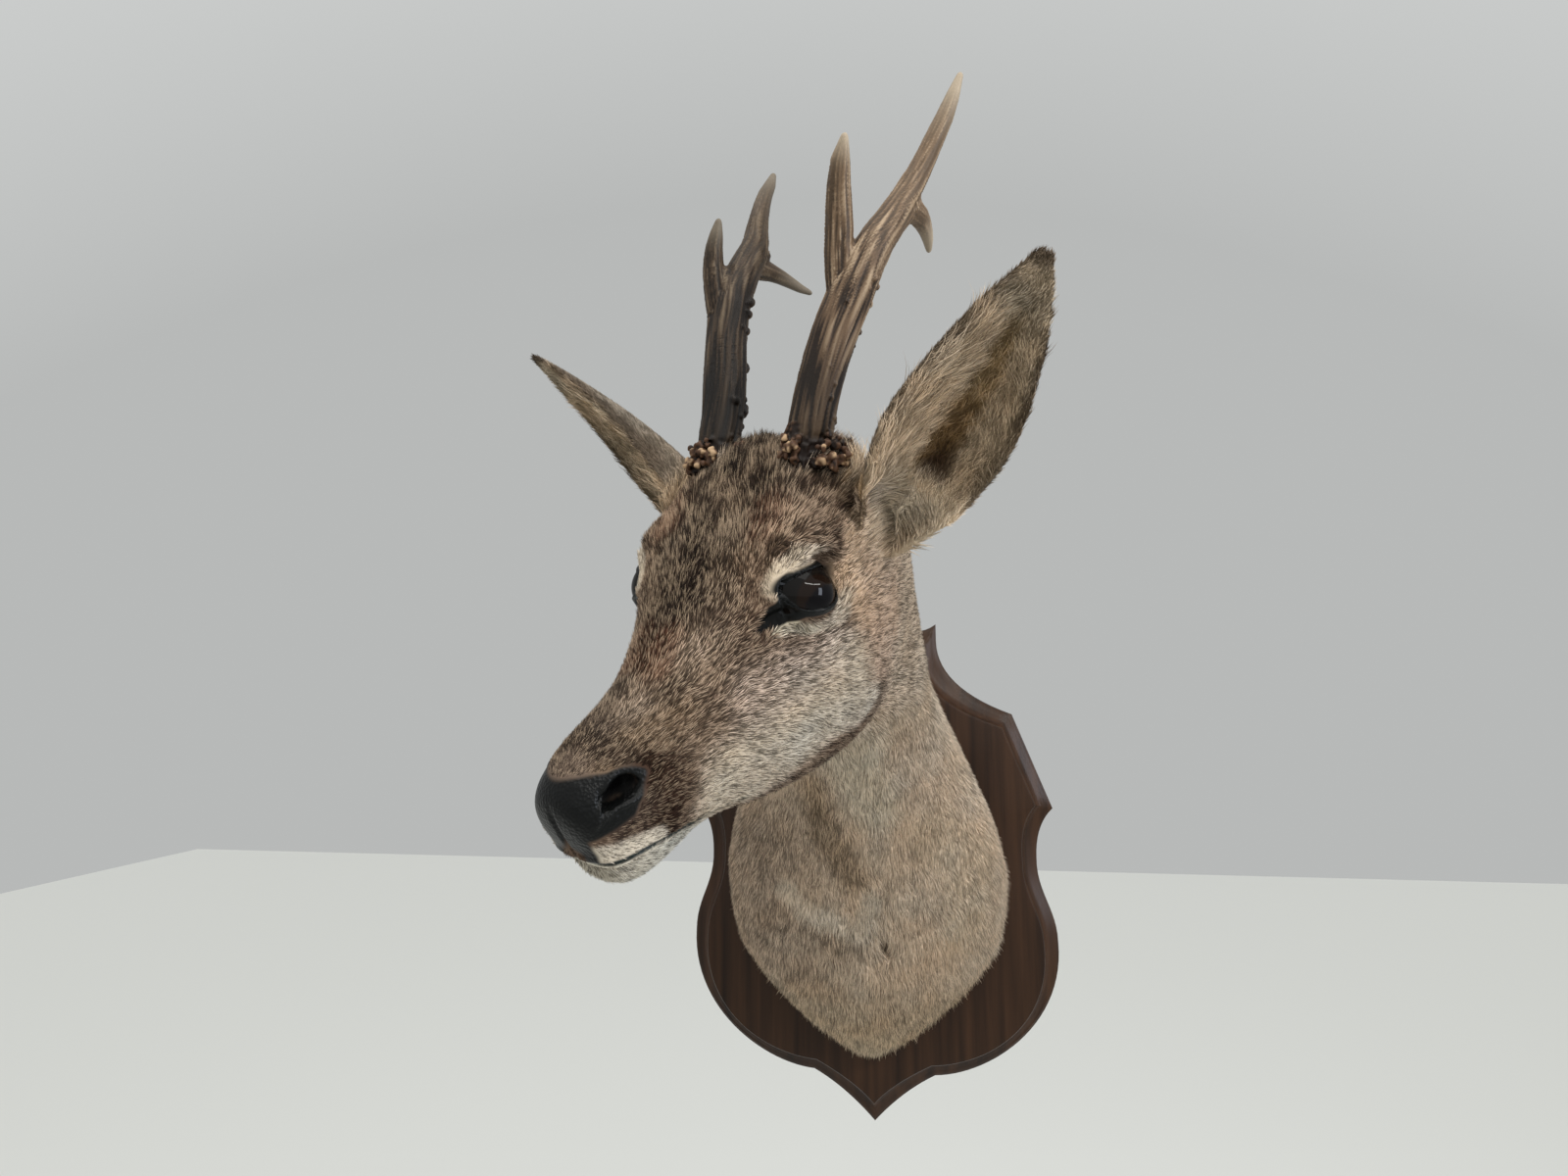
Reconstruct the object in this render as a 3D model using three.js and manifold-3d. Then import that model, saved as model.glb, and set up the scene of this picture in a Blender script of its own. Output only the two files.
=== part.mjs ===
// A roe buck's head and neck on a shield-shaped wooden board, life size, in millimetres.
// +Z is up. The board's flat back lies on the plane y = 0, with the origin in the middle of its width and
// about half way up it. The animal looks out along -Y, its head turned to its own right.
import * as THREE from "three";
import Module from "manifold-3d";

const wasm = await Module();
wasm.setup();

// ---------------------------------------------------------------- driving sizes
const GAP = 0.3; // clearance between pieces that touch
const BOARD = { halfWidth: 125, height: 340, tipZ: -174, thickness: 20, moulding: 13 };
const HEAD = { x: -48.9, y: -253.8, z: 157.5, turn: -35, nod: 43, tilt: 9 }; // midway between the eyes
const EYE = { forward: 4, side: 39.5, up: 4, radius: 13.8, slitLength: 27, slitHeight: 18, slant: 18 };
const CORONET = { forward: -52, side: 27, up: 36, radius: 14.5, height: 9 };
const EAR = { length: 122, halfWidth: 29.5, root: 14, bow: 6, backBow: 7 };
const EAR_WALL = { thickness: 4.2, edge: 1.6, thinning: 0.55 };
const NOSTRIL = { forward: 108, side: 18.5, up: -4 };
const NECK_SIDES = 30;
const HEAD_SIDES = 30;
const ANTLER_SIDES = 9;
const GROOVE_DEPTH = 0.05; // as a share of the antler's radius

const COLOUR = {
  wood: { color: 0x33201a, roughness: 0.45 },
  coat: { color: 0x84705c, roughness: 0.9 },
  nose: { color: 0x1c2124, roughness: 0.5 },
  chin: { color: 0xd8cfc2, roughness: 0.9 },
  ear: { color: 0x8c7a66, roughness: 0.9 },
  eye: { color: 0x150c09, roughness: 0.05 },
  burr: { color: 0x6b4532, roughness: 0.8 },
  antler: { color: 0x5a4637, roughness: 0.6 },
  tine: { color: 0x9a8468, roughness: 0.5 },
};

// ---------------------------------------------------------------- surfaces and solids

const radians = THREE.MathUtils.degToRad;
const mix = THREE.MathUtils.lerp;
const between = THREE.MathUtils.smoothstep; // 0 below the lower limit, 1 above the upper one
const signedPower = (value, power) => Math.sign(value) * Math.abs(value) ** power;

// A closed surface through rings of equal length, with a fan from each end ring to an end point.
function closedSurface(rings, startPoint, endPoint) {
  const sides = rings[0].length;
  const points = [...rings.flat(), startPoint, endPoint];
  const start = points.length - 2;
  const end = points.length - 1;
  const triangles = [];
  for (let i = 0; i + 1 < rings.length; i++)
    for (let j = 0; j < sides; j++) {
      const k = (j + 1) % sides;
      const [a, b, c, d] = [i * sides + j, i * sides + k, (i + 1) * sides + k, (i + 1) * sides + j];
      triangles.push(a, b, c, a, c, d);
    }
  const last = (rings.length - 1) * sides;
  for (let j = 0; j < sides; j++) {
    const k = (j + 1) % sides;
    triangles.push(start, k, j, end, last + j, last + k);
  }
  return facingOut(points, triangles);
}

// Turns every triangle round when the surface they make is inside out.
function facingOut(points, triangles) {
  let volume = 0;
  for (let i = 0; i < triangles.length; i += 3) {
    const [a, b, c] = [points[triangles[i]], points[triangles[i + 1]], points[triangles[i + 2]]];
    volume += a.dot(new THREE.Vector3().crossVectors(b, c));
  }
  if (volume < 0)
    for (let i = 0; i < triangles.length; i += 3)
      [triangles[i + 1], triangles[i + 2]] = [triangles[i + 2], triangles[i + 1]];
  return new THREE.BufferGeometry().setFromPoints(points).setIndex(triangles);
}

function solidOf(geometry) {
  return new wasm.Manifold(
    new wasm.Mesh({
      numProp: 3,
      vertProperties: new Float32Array(geometry.attributes.position.array),
      triVerts: new Uint32Array(geometry.index.array),
    }),
  );
}

function geometryOf(solid) {
  const { vertProperties, triVerts } = solid.getMesh();
  return new THREE.BufferGeometry()
    .setAttribute("position", new THREE.BufferAttribute(new Float32Array(vertProperties), 3))
    .setIndex(new THREE.BufferAttribute(new Uint32Array(triVerts), 1));
}

// The part of a solid on the side of a plane that its normal points to, half a gap away from the plane.
function aheadOf(solid, normal, throughPoint) {
  const n = normal.clone().normalize();
  return solid.trimByPlane(n.toArray(), n.dot(throughPoint) + GAP / 2);
}

function behind(solid, normal, throughPoint) {
  return aheadOf(solid, normal.clone().negate(), throughPoint);
}

// Reads columns of a table of stations as a smooth curve: t runs from 0 at the first row to 1 at the last.
function stationsCurve(rows) {
  const columns = rows[0].map((_, column) => rows.map((row) => row[column]));
  return (t) =>
    columns.map((values) => {
      const x = t * (values.length - 1);
      const i = Math.min(Math.floor(x), values.length - 2);
      const at = (k) => values[THREE.MathUtils.clamp(k, 0, values.length - 1)];
      const [a, b, c, d] = [at(i - 1), at(i), at(i + 1), at(i + 2)];
      const u = x - i;
      const linear = (c - a) * u;
      const square = (2 * a - 5 * b + 4 * c - d) * u ** 2;
      const cube = (3 * b - a - 3 * c + d) * u ** 3;
      return b + 0.5 * (linear + square + cube);
    });
}

// ---------------------------------------------------------------- board

// The shield's outline seen from the front, its edge moved in by inset, as [x, z] from bottom to top.
function shieldOutline(inset) {
  const W = BOARD.halfWidth;
  const bottom = BOARD.tipZ;
  const top = BOARD.tipZ + BOARD.height;
  // A point of the outer edge, moved in along its own mitre direction.
  const key = (x, z, mitreX, mitreZ) => new THREE.Vector2(x - inset * mitreX, z - inset * mitreZ);
  const tip = key(0, bottom, 0, -1.45);
  const lowerSweep = key(19, bottom + 20, 0.7, -0.8);
  const join = key(41, bottom + 31, 0.25, -1);
  const belly = key(W, -54, 1, 0);
  const waist = key(W - 12, 1, 1, 0);
  const waistOut = key(W - 12, 23, 1.1, -0.3);
  const corner = key(W, 34, 1.19, -0.29);
  const shoulder = key(W - 25, 98, 0.77, 0.78);
  const hollow = key(49, 117, 1, 0.9);
  const riser = key(49, 150, 1, 0);
  const horn = key(49, top - 4, 1, 1.9);
  const dip = key(34, top - 15, 0.3, 1);
  const crestStart = key(20, top - 5, 0.3, 1);
  const crown = key(0, top, 0, 1);
  const half = [
    ...new THREE.QuadraticBezierCurve(tip, lowerSweep, join).getPoints(5),
    ...new THREE.CubicBezierCurve(join, key(76, bottom + 33, 0.2, -1), key(W + 3, -108, 1, -0.3), belly)
      .getPoints(11)
      .slice(1),
    ...new THREE.CubicBezierCurve(belly, key(W, -32, 1, 0), key(W - 13, -22, 1, 0), waist)
      .getPoints(5)
      .slice(1),
    ...new THREE.QuadraticBezierCurve(waist, waistOut, corner).getPoints(4).slice(1),
    ...new THREE.QuadraticBezierCurve(shoulder, hollow, riser).getPoints(6),
    horn,
    ...new THREE.CubicBezierCurve(horn, dip, crestStart, crown).getPoints(5).slice(1),
  ];
  const otherHalf = half
    .slice(1, -1)
    .reverse()
    .map((p) => new THREE.Vector2(-p.x, p.y));
  return [...half, ...otherHalf];
}

function boardGeometry() {
  const T = BOARD.thickness;
  const M = BOARD.moulding;
  // Each row is how far the edge stands in from the outline, and how far the level is off the wall.
  const profile = [
    [0, 0],
    [0, 0.33 * T],
    [0.12 * M, 0.38 * T],
    [0.34 * M, 0.44 * T],
    [0.72 * M, 0.7 * T],
    [0.88 * M, 0.95 * T],
    [M, T],
  ];
  const levelRing = ([inset, off]) => shieldOutline(inset).map((p) => new THREE.Vector3(p.x, -off, p.y));
  const rings = profile.map(levelRing);
  const middleZ = -10;
  return closedSurface(rings, new THREE.Vector3(0, 0, middleZ), new THREE.Vector3(0, -T, middleZ));
}

// ---------------------------------------------------------------- neck and chest

// One row for each section, from the board to inside the skull: the breast edge (y, z), the nape edge
// (y, z), the middle's x, the half width, and how far up the section its widest place is.
const neckSection = stationsCurve([
  [-BOARD.thickness - GAP, -128, -BOARD.thickness - GAP, 112, -2, 93, 0.5],
  [-44, -121, -43, 128, -2, 94, 0.48],
  [-72, -98, -66, 144, -3, 90, 0.45],
  [-95, -62, -88, 160, -4, 80, 0.42],
  [-109, -22, -110, 175, -6, 65, 0.42],
  [-119, 16, -134, 191, -8, 53, 0.45],
  [-134, 50, -158, 207, -10, 47.5, 0.5],
  [-155, 82, -185, 225, -13, 46, 0.52],
  [-180, 104, -212, 240, -17, 45, 0.52],
  [-203, 124, -228, 234, -24, 40, 0.5],
]);

function neckGeometry() {
  const steps = 18;
  const rings = [];
  for (let i = 0; i <= steps; i++) {
    const t = i / steps;
    const [breastY, breastZ, napeY, napeZ, x, halfWidth, widest] = neckSection(t);
    const breast = new THREE.Vector3(x, breastY, breastZ);
    const nape = new THREE.Vector3(x, napeY, napeZ);
    const pointed = 0.6 * (1 - between(t, 0, 0.5)); // the breast ends in a point on the board
    const shouldered = 0.45 * (1 - between(t, 0.1, 0.75)); // narrower at once above the shoulders
    const ring = [];
    for (let j = 0; j < NECK_SIDES; j++) {
      const angle = (2 * Math.PI * j) / NECK_SIDES;
      const up = Math.sin(angle);
      const round = (power) => signedPower(Math.cos(angle), power);
      const lower = round(1 + pointed * between(-up, 0.4, 0.68));
      const upper = mix(round(0.9), round(6), shouldered);
      const sideways = halfWidth * (up < 0 ? lower : upper);
      const along = up < 0 ? widest * (1 + up) : widest + (1 - widest) * up;
      ring.push(breast.clone().lerp(nape, along).add(new THREE.Vector3(sideways, 0, 0)));
    }
    rings.push(ring);
  }
  const middle = (t) => {
    const [breastY, breastZ, napeY, napeZ, x] = neckSection(t);
    return new THREE.Vector3(x, (breastY + napeY) / 2, (breastZ + napeZ) / 2);
  };
  return closedSurface(rings, middle(0), middle(1));
}

// ---------------------------------------------------------------- head
// The head is made in its own frame: x to the animal's left, y backwards, z up from the brow.

const headPlace = new THREE.Matrix4()
  .makeRotationFromEuler(new THREE.Euler(radians(HEAD.nod), radians(HEAD.tilt), radians(HEAD.turn), "ZXY"))
  .setPosition(HEAD.x, HEAD.y, HEAD.z);
const headPoint = (forward, side, up) => new THREE.Vector3(side, -forward, up);
const SIDEWAYS = new THREE.Vector3(1, 0, 0);
const placed = (v) => v.clone().applyMatrix4(headPlace);
const placedDirection = (v) => v.clone().transformDirection(headPlace);

// One row for each section, from the nose to the nape: how far forward it is, the height of its top and
// of its bottom, its half width, the height of its widest place, and how square its top and bottom are.
const headSection = stationsCurve([
  [123, -7, -27, 9, -17, 2.2, 2.2],
  [121.5, -1, -37, 14, -17, 2.3, 2.3],
  [118, 3.5, -44, 17.5, -17, 2.3, 2.3],
  [110, 7.5, -48.5, 21, -17, 2.1, 2.4],
  [98, 9, -51, 23.5, -18, 2, 2.4],
  [84, 10, -56, 25, -20, 1.9, 2.3],
  [68, 12.5, -65, 27, -23, 1.8, 2.3],
  [52, 16.5, -76, 31.5, -23, 1.85, 2.3],
  [36, 21.5, -85, 37.5, -19, 2, 2.4],
  [20, 26.5, -92, 44, -14, 2.4, 2.4],
  [4, 31.5, -97, 50.5, -9, 3, 2.4],
  [-12, 36, -101, 52, -7, 3.2, 2.4],
  [-30, 41, -103, 51, -9, 3.2, 2.4],
  [-48, 44, -102, 49, -12, 3, 2.3],
  [-66, 42, -94, 46, -16, 2.6, 2.3],
  [-82, 31, -80, 41, -18, 2.2, 2.2],
  [-94, 14, -58, 31, -18, 2, 2],
  [-99, -2, -38, 16, -18, 2, 2],
]);

// Rounded swells and hollows of the skull, the same on both sides: place, reach and height.
const SWELLS = [
  { name: "brow", forward: -2, side: 43, up: 21, reach: 14, height: 5 },
  { name: "hollow before the eye", forward: 30, side: 38, up: 0, reach: 12, height: -3.5 },
  { name: "cheekbone", forward: 6, side: 47, up: -26, reach: 15, height: 2 },
  { name: "temple", forward: -34, side: 47, up: 8, reach: 13, height: -3 },
  { name: "side of the muzzle", forward: 62, side: 27, up: -14, reach: 18, height: -2 },
  { name: "nostril wing", forward: 104, side: 20, up: -12, reach: 9, height: 2 },
  { name: "antler root", forward: -50, side: 27, up: 42, reach: 13, height: 3 },
  { name: "ear root", forward: -58, side: 44, up: 22, reach: 15, height: 5 },
];

function headGeometry(grow) {
  const steps = 25;
  const rings = [];
  const centres = [];
  for (let i = 0; i <= steps; i++) {
    const [forward, top, bottom, halfWidth, widest, topPower, bottomPower] = headSection(i / steps);
    const centre = headPoint(forward, 0, (top + bottom) / 2);
    const ring = [];
    for (let j = 0; j < HEAD_SIDES; j++) {
      const angle = (2 * Math.PI * j) / HEAD_SIDES;
      const power = 2 / (Math.sin(angle) > 0 ? topPower : bottomPower);
      const rise = signedPower(Math.sin(angle), power);
      const side = halfWidth * signedPower(Math.cos(angle), power);
      const up = widest + rise * (rise > 0 ? top - widest : widest - bottom);
      const point = headPoint(forward, side, up);
      const outward = point.clone().sub(centre).normalize();
      let push = grow;
      for (const s of SWELLS) {
        const distance = Math.hypot(forward - s.forward, Math.abs(side) - s.side, up - s.up);
        push += s.height * Math.exp(-((distance / s.reach) ** 2));
      }
      ring.push(point.addScaledVector(outward, push));
    }
    rings.push(ring);
    centres.push(centre);
  }
  const nose = centres[0].clone().add(headPoint(0.8 + grow, 0, 0)); // both ends are a little domed
  const back = centres[steps].clone().add(headPoint(-2 - grow, 0, 0));
  return closedSurface(rings, nose, back);
}

// A ball, or an ellipsoid of half sizes along the head's side, back and up, its front end raised by slant.
function ellipsoidGeometry(centre, halfSizes, slant, widthSteps, heightSteps) {
  const rings = [];
  for (let i = 1; i < heightSteps; i++) {
    const polar = (Math.PI * i) / heightSteps;
    const ring = [];
    for (let j = 0; j < widthSteps; j++) {
      const around = (2 * Math.PI * j) / widthSteps;
      const away = Math.sin(polar);
      const unit = new THREE.Vector3(Math.cos(polar), away * Math.cos(around), away * Math.sin(around));
      ring.push(unit.multiply(halfSizes).applyAxisAngle(SIDEWAYS, -radians(slant)).add(centre));
    }
    rings.push(ring);
  }
  const pole = (side) => centre.clone().add(new THREE.Vector3(side * halfSizes.x, 0, 0));
  return closedSurface(rings, pole(1), pole(-1));
}

const eyeCentre = (side) => headPoint(EYE.forward, side * EYE.side, EYE.up);

function eyeGeometry(side, grow) {
  const r = EYE.radius + grow;
  return ellipsoidGeometry(eyeCentre(side), new THREE.Vector3(r, r, r), 0, 12, 8);
}

// The almond-shaped opening of the lids, cut into the head in front of the eyeball.
function lidOpening(side) {
  const centre = headPoint(EYE.forward + 1, side * (EYE.side + 14), EYE.up + 2);
  const halfSizes = new THREE.Vector3(15, EYE.slitLength / 2 + 2, EYE.slitHeight / 2 + 1);
  return ellipsoidGeometry(centre, halfSizes, EYE.slant, 12, 6);
}

function nostril(side) {
  const centre = headPoint(NOSTRIL.forward, side * NOSTRIL.side, NOSTRIL.up);
  return ellipsoidGeometry(centre, new THREE.Vector3(5.5, 6.5, 4), 0, 8, 5);
}

// ---------------------------------------------------------------- ears

// Each ear stands on the same root; the right one is carried a little further forward.
const EAR_ROOT = headPoint(-62, 48, 6);
const EAR_TIPS = { left: headPoint(-80, 131, 94), right: headPoint(-58, 124, 102) };
const EAR_OPENS = { left: headPoint(0.72, 0.6, 0), right: headPoint(0.82, 0.48, 0.05) };

// One row for each section, root to tip: share of the half width, and how far it is rolled up, in degrees.
const earSection = stationsCurve([
  [0.42, 150],
  [0.56, 126],
  [0.77, 96],
  [0.93, 76],
  [1, 64],
  [0.93, 55],
  [0.8, 48],
  [0.63, 42],
  [0.42, 36],
  [0.14, 30],
]);

function earGeometry(name, side) {
  const along = EAR_TIPS[name].clone().sub(EAR_ROOT).normalize();
  const opening = EAR_OPENS[name].clone().projectOnPlane(along).normalize();
  const across = new THREE.Vector3().crossVectors(along, opening);
  const lengthSteps = 14;
  const acrossSteps = 8;
  const rings = [];
  for (let i = 0; i <= lengthSteps; i++) {
    const t = i / lengthSteps;
    const [share, rolled] = earSection(t);
    const roll = radians(rolled);
    const radius = (share * EAR.halfWidth) / Math.sin(Math.min(roll, Math.PI / 2));
    const reachOut = mix(-EAR.root, EAR.length, t);
    const backBend = EAR.backBow * Math.sin(Math.PI * t);
    const place = (turn, depth) => {
      const reach = radius - depth;
      return EAR_ROOT.clone()
        .addScaledVector(along, reachOut)
        .addScaledVector(across, reach * Math.sin(turn) + EAR.bow * t * Math.sin(Math.PI * t))
        .addScaledVector(opening, radius - reach * Math.cos(turn) - backBend);
    };
    const outer = [];
    const inner = [];
    for (let j = 0; j <= acrossSteps; j++) {
      const v = (2 * j) / acrossSteps - 1;
      const wall = mix(EAR_WALL.thickness, EAR_WALL.edge, v * v) * mix(1, EAR_WALL.thinning, t * t);
      outer.push(place(v * roll, 0));
      inner.unshift(place(v * roll, Math.min(wall, 0.6 * radius)));
    }
    const ring = [...outer, ...inner];
    for (const point of ring) point.x *= side;
    rings.push(ring);
  }
  const half = acrossSteps / 2;
  const middle = (ring) => ring[half].clone().lerp(ring[acrossSteps + 1 + half], 0.5);
  return closedSurface(rings, middle(rings[0]), middle(rings[lengthSteps]));
}

// ---------------------------------------------------------------- antlers

// A tapered, grooved tube through points, each row being forward, side, up and radius in the head's frame.
function tubeGeometry(rows, side, steps, grow) {
  const centres = new THREE.CatmullRomCurve3(
    rows.map(([forward, sideways, up]) => headPoint(forward, side * sideways, up)),
    false,
    "centripetal",
  );
  const frames = centres.computeFrenetFrames(steps);
  const rings = [];
  for (let i = 0; i <= steps; i++) {
    const t = centres.getUtoTmapping(i / steps) * (rows.length - 1);
    const row = Math.min(Math.floor(t), rows.length - 2);
    const radius = mix(rows[row][3], rows[row + 1][3], t - row);
    const centre = centres.getPointAt(i / steps);
    const ring = [];
    for (let j = 0; j < ANTLER_SIDES; j++) {
      const angle = (2 * Math.PI * j) / ANTLER_SIDES;
      const groove = GROOVE_DEPTH * Math.cos(4 * angle + 2 * (i / steps));
      const r = radius * (1 + groove) + grow;
      ring.push(
        centre
          .clone()
          .addScaledVector(frames.normals[i], r * Math.cos(angle))
          .addScaledVector(frames.binormals[i], r * Math.sin(angle)),
      );
    }
    rings.push(ring);
  }
  const tangentStart = frames.tangents[0];
  const tangentEnd = frames.tangents[steps];
  const lastRadius = rows[rows.length - 1][3];
  return closedSurface(
    rings,
    centres.getPointAt(0).addScaledVector(tangentStart, -grow),
    centres.getPointAt(1).addScaledVector(tangentEnd, lastRadius + grow),
  );
}

// The two antlers differ a little, as real ones do.
const ANTLERS = {
  left: {
    side: 1,
    main: [
      [-46, 24, 34, 10.2],
      [-57, 25.5, 46, 10],
      [-70.5, 27.5, 59, 9.8],
      [-88.5, 32, 75, 10.2],
      [-105.5, 38.5, 89, 9.6],
      [-119.5, 43, 98.5, 8.1],
      [-135, 47, 104.5, 6.9],
      [-151, 50, 110.5, 5.7],
      [-163, 53.5, 117, 4.8],
      [-174, 58, 125.5, 4.2],
      [-183.5, 62.5, 133.5, 3.5],
      [-191.5, 65.7, 141, 2.2],
      [-195, 67.2, 144.5, 1.1],
    ],
    front: [
      [-99.5, 33.5, 88.5, 5.5],
      [-107, 34, 101.5, 5.9],
      [-113, 35.7, 113.5, 5.8],
      [-116.5, 37.3, 123.5, 5.1],
      [-120, 39.3, 133, 4.2],
      [-122.5, 42, 140, 3],
      [-124, 43.6, 143.6, 1.2],
    ],
    rear: [
      [-148.5, 49.5, 105.5, 5.6],
      [-159, 48.7, 99, 4.3],
      [-166.5, 46.7, 90.5, 3],
      [-171, 44.4, 83.5, 2],
      [-173, 42.6, 79, 1],
    ],
  },
  right: {
    side: -1,
    main: [
      [-48, 26.5, 36, 10.2],
      [-60, 28, 46.5, 10],
      [-77.5, 28.8, 62, 9.6],
      [-97.5, 32, 81, 8.8],
      [-114, 32.6, 95, 8.6],
      [-127.5, 32.7, 101.5, 7.8],
      [-143.5, 34.5, 106.5, 6.9],
      [-161.5, 40, 115, 4.8],
      [-179.5, 43.7, 123.5, 3.6],
      [-192, 45.2, 127.7, 2.4],
      [-198, 46.7, 129.8, 1.2],
    ],
    front: [
      [-103.5, 37.7, 91, 5.7],
      [-112, 39.7, 104.5, 5.4],
      [-119, 39.4, 115.5, 4],
      [-123.5, 37.6, 122, 2.8],
      [-126.5, 35.9, 126.7, 1.2],
    ],
    rear: [
      [-147, 41.7, 98, 5.8],
      [-156.7, 41, 91.5, 4.4],
      [-165, 39, 84, 3.2],
      [-171.5, 36.3, 76, 2.1],
      [-176.5, 33.6, 70.5, 1],
    ],
  },
};
const FIRST_FORK = headPoint(-108, 37, 92);
const SECOND_FORK = headPoint(-146, 44, 107);

// The coronet is a squat ring of beads round the antler's foot.
function coronetGeometry(side, grow) {
  const foot = headPoint(CORONET.forward, side * CORONET.side, CORONET.up);
  const up = headPoint(-0.64, side * 0.13, 0.75).normalize();
  const across = new THREE.Vector3(1, 0, 0).projectOnPlane(up).normalize();
  const back = new THREE.Vector3().crossVectors(up, across);
  // Each row is a height along the antler and a share of the radius.
  const profile = [
    [-9, 0.7],
    [0, 0.93],
    [4, 1.04],
    [CORONET.height, 0.72],
  ];
  const beads = 7;
  const sides = 3 * beads;
  const rings = profile.map(([height, share], level) => {
    const ring = [];
    for (let j = 0; j < sides; j++) {
      const angle = (2 * Math.PI * j) / sides;
      const bead = 1 + 0.07 * Math.cos(beads * angle + 1.7 * level);
      const r = CORONET.radius * share * bead + grow;
      ring.push(
        foot
          .clone()
          .addScaledVector(up, height)
          .addScaledVector(across, r * Math.cos(angle))
          .addScaledVector(back, r * Math.sin(angle)),
      );
    }
    return ring;
  });
  return closedSurface(
    rings,
    foot.clone().addScaledVector(up, profile[0][0]),
    foot.clone().addScaledVector(up, CORONET.height + grow),
  );
}

// ---------------------------------------------------------------- pieces

const mount = new THREE.Group();
const headFrame = new THREE.Group();
headFrame.applyMatrix4(headPlace);
mount.add(headFrame);

function addPiece(parent, name, geometry, look) {
  const mesh = new THREE.Mesh(geometry, new THREE.MeshStandardMaterial({ ...look, metalness: 0 }));
  mesh.name = name;
  parent.add(mesh);
}

addPiece(mount, "board", boardGeometry(), COLOUR.wood);

// Flesh is made whole and parted by thin cuts.
const placedSolid = (geometry) => solidOf(geometry.applyMatrix4(headPlace));
let flesh = solidOf(neckGeometry()).add(placedSolid(headGeometry(0)));
for (const side of [1, -1])
  for (const hole of [eyeGeometry(side, GAP), lidOpening(side), nostril(side)])
    flesh = flesh.subtract(placedSolid(hole));

const napeToThroat = placedDirection(headPoint(0.87, 0, 0.5));
const throat = placed(headPoint(-22, 0, -100));
const collarNormal = new THREE.Vector3(0, -0.82, 0.57);
const collar = new THREE.Vector3(0, -118, 84);
const mouthLine = placedDirection(headPoint(0.33, 0, -0.945));
const mouth = placed(headPoint(66, 0, -48));
const muzzleNormal = placedDirection(headPoint(1, 0, 0.1));
const muzzleRoot = placed(headPoint(64, 0, 0));
const padNormal = placedDirection(headPoint(0.92, 0, 0.39));
const padEdge = placed(headPoint(107, 0, 8));

const aboveCollar = aheadOf(flesh, collarNormal, collar);
const wholeHead = aheadOf(aboveCollar, napeToThroat, throat);
const upperHead = behind(wholeHead, mouthLine, mouth);
const face = aheadOf(upperHead, muzzleNormal, muzzleRoot);

const fleshPieces = {
  chest: [behind(flesh, collarNormal, collar), COLOUR.coat],
  neck: [behind(aboveCollar, napeToThroat, throat), COLOUR.coat],
  head: [behind(upperHead, muzzleNormal, muzzleRoot), COLOUR.coat],
  lower_jaw: [aheadOf(wholeHead, mouthLine, mouth), COLOUR.chin],
  muzzle: [behind(face, padNormal, padEdge), COLOUR.coat],
  nose_pad: [aheadOf(face, padNormal, padEdge), COLOUR.nose],
};
for (const [name, [solid, look]] of Object.entries(fleshPieces))
  addPiece(mount, name, geometryOf(solid), look);

const clearOfHead = solidOf(headGeometry(GAP));
for (const [name, antler] of Object.entries(ANTLERS)) {
  const side = antler.side;
  const mirrored = (v) => new THREE.Vector3(v.x * side, v.y, v.z);
  const coronet = solidOf(coronetGeometry(side, 0)).subtract(clearOfHead);
  const clearOfCoronet = solidOf(coronetGeometry(side, GAP));
  const ear = solidOf(earGeometry(name, side)).subtract(clearOfHead).subtract(clearOfCoronet);
  const main = solidOf(tubeGeometry(antler.main, side, 20, 0))
    .subtract(clearOfCoronet)
    .subtract(clearOfHead);
  const clearOfMain = solidOf(tubeGeometry(antler.main, side, 20, GAP));
  const lowerCut = mirrored(headPoint(-0.93, 0.2, 0.3));
  const upperCut = mirrored(headPoint(-0.94, 0.27, 0.2));
  const aboveFirst = aheadOf(main, lowerCut, mirrored(FIRST_FORK));
  const pieces = {
    coronet: [coronet, COLOUR.burr],
    beam: [behind(main, lowerCut, mirrored(FIRST_FORK)), COLOUR.antler],
    upper_beam: [behind(aboveFirst, upperCut, mirrored(SECOND_FORK)), COLOUR.antler],
    top_tine: [aheadOf(aboveFirst, upperCut, mirrored(SECOND_FORK)), COLOUR.tine],
    front_tine: [solidOf(tubeGeometry(antler.front, side, 7, 0)).subtract(clearOfMain), COLOUR.tine],
    rear_tine: [solidOf(tubeGeometry(antler.rear, side, 6, 0)).subtract(clearOfMain), COLOUR.tine],
  };
  addPiece(headFrame, `eye_${name}`, eyeGeometry(side, 0), COLOUR.eye);
  addPiece(headFrame, `ear_${name}`, geometryOf(ear), COLOUR.ear);
  for (const [piece, [solid, look]] of Object.entries(pieces)) {
    const [largest] = solid.decompose().sort((a, b) => b.volume() - a.volume()); // drops a cut's slivers
    addPiece(headFrame, `antler_${name}_${piece}`, geometryOf(largest), look);
  }
}

export default mount;
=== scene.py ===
# %% [markdown]
# # A roe buck's head on a shield
# A taxidermist stretches a deer's tanned hide over a light form, sets glass eyes in it and screws it to
# a moulded wooden shield. The scene follows that order: the frame, the hide as one skin, the hair that
# grows on it, then the eyes, the antlers and the board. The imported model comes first, because every
# piece keeps the sizes and places of its nodes.

# %% Load the frame
import itertools
import math

import bmesh
import bpy
import numpy as np
from mathutils import Matrix, Vector


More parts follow.
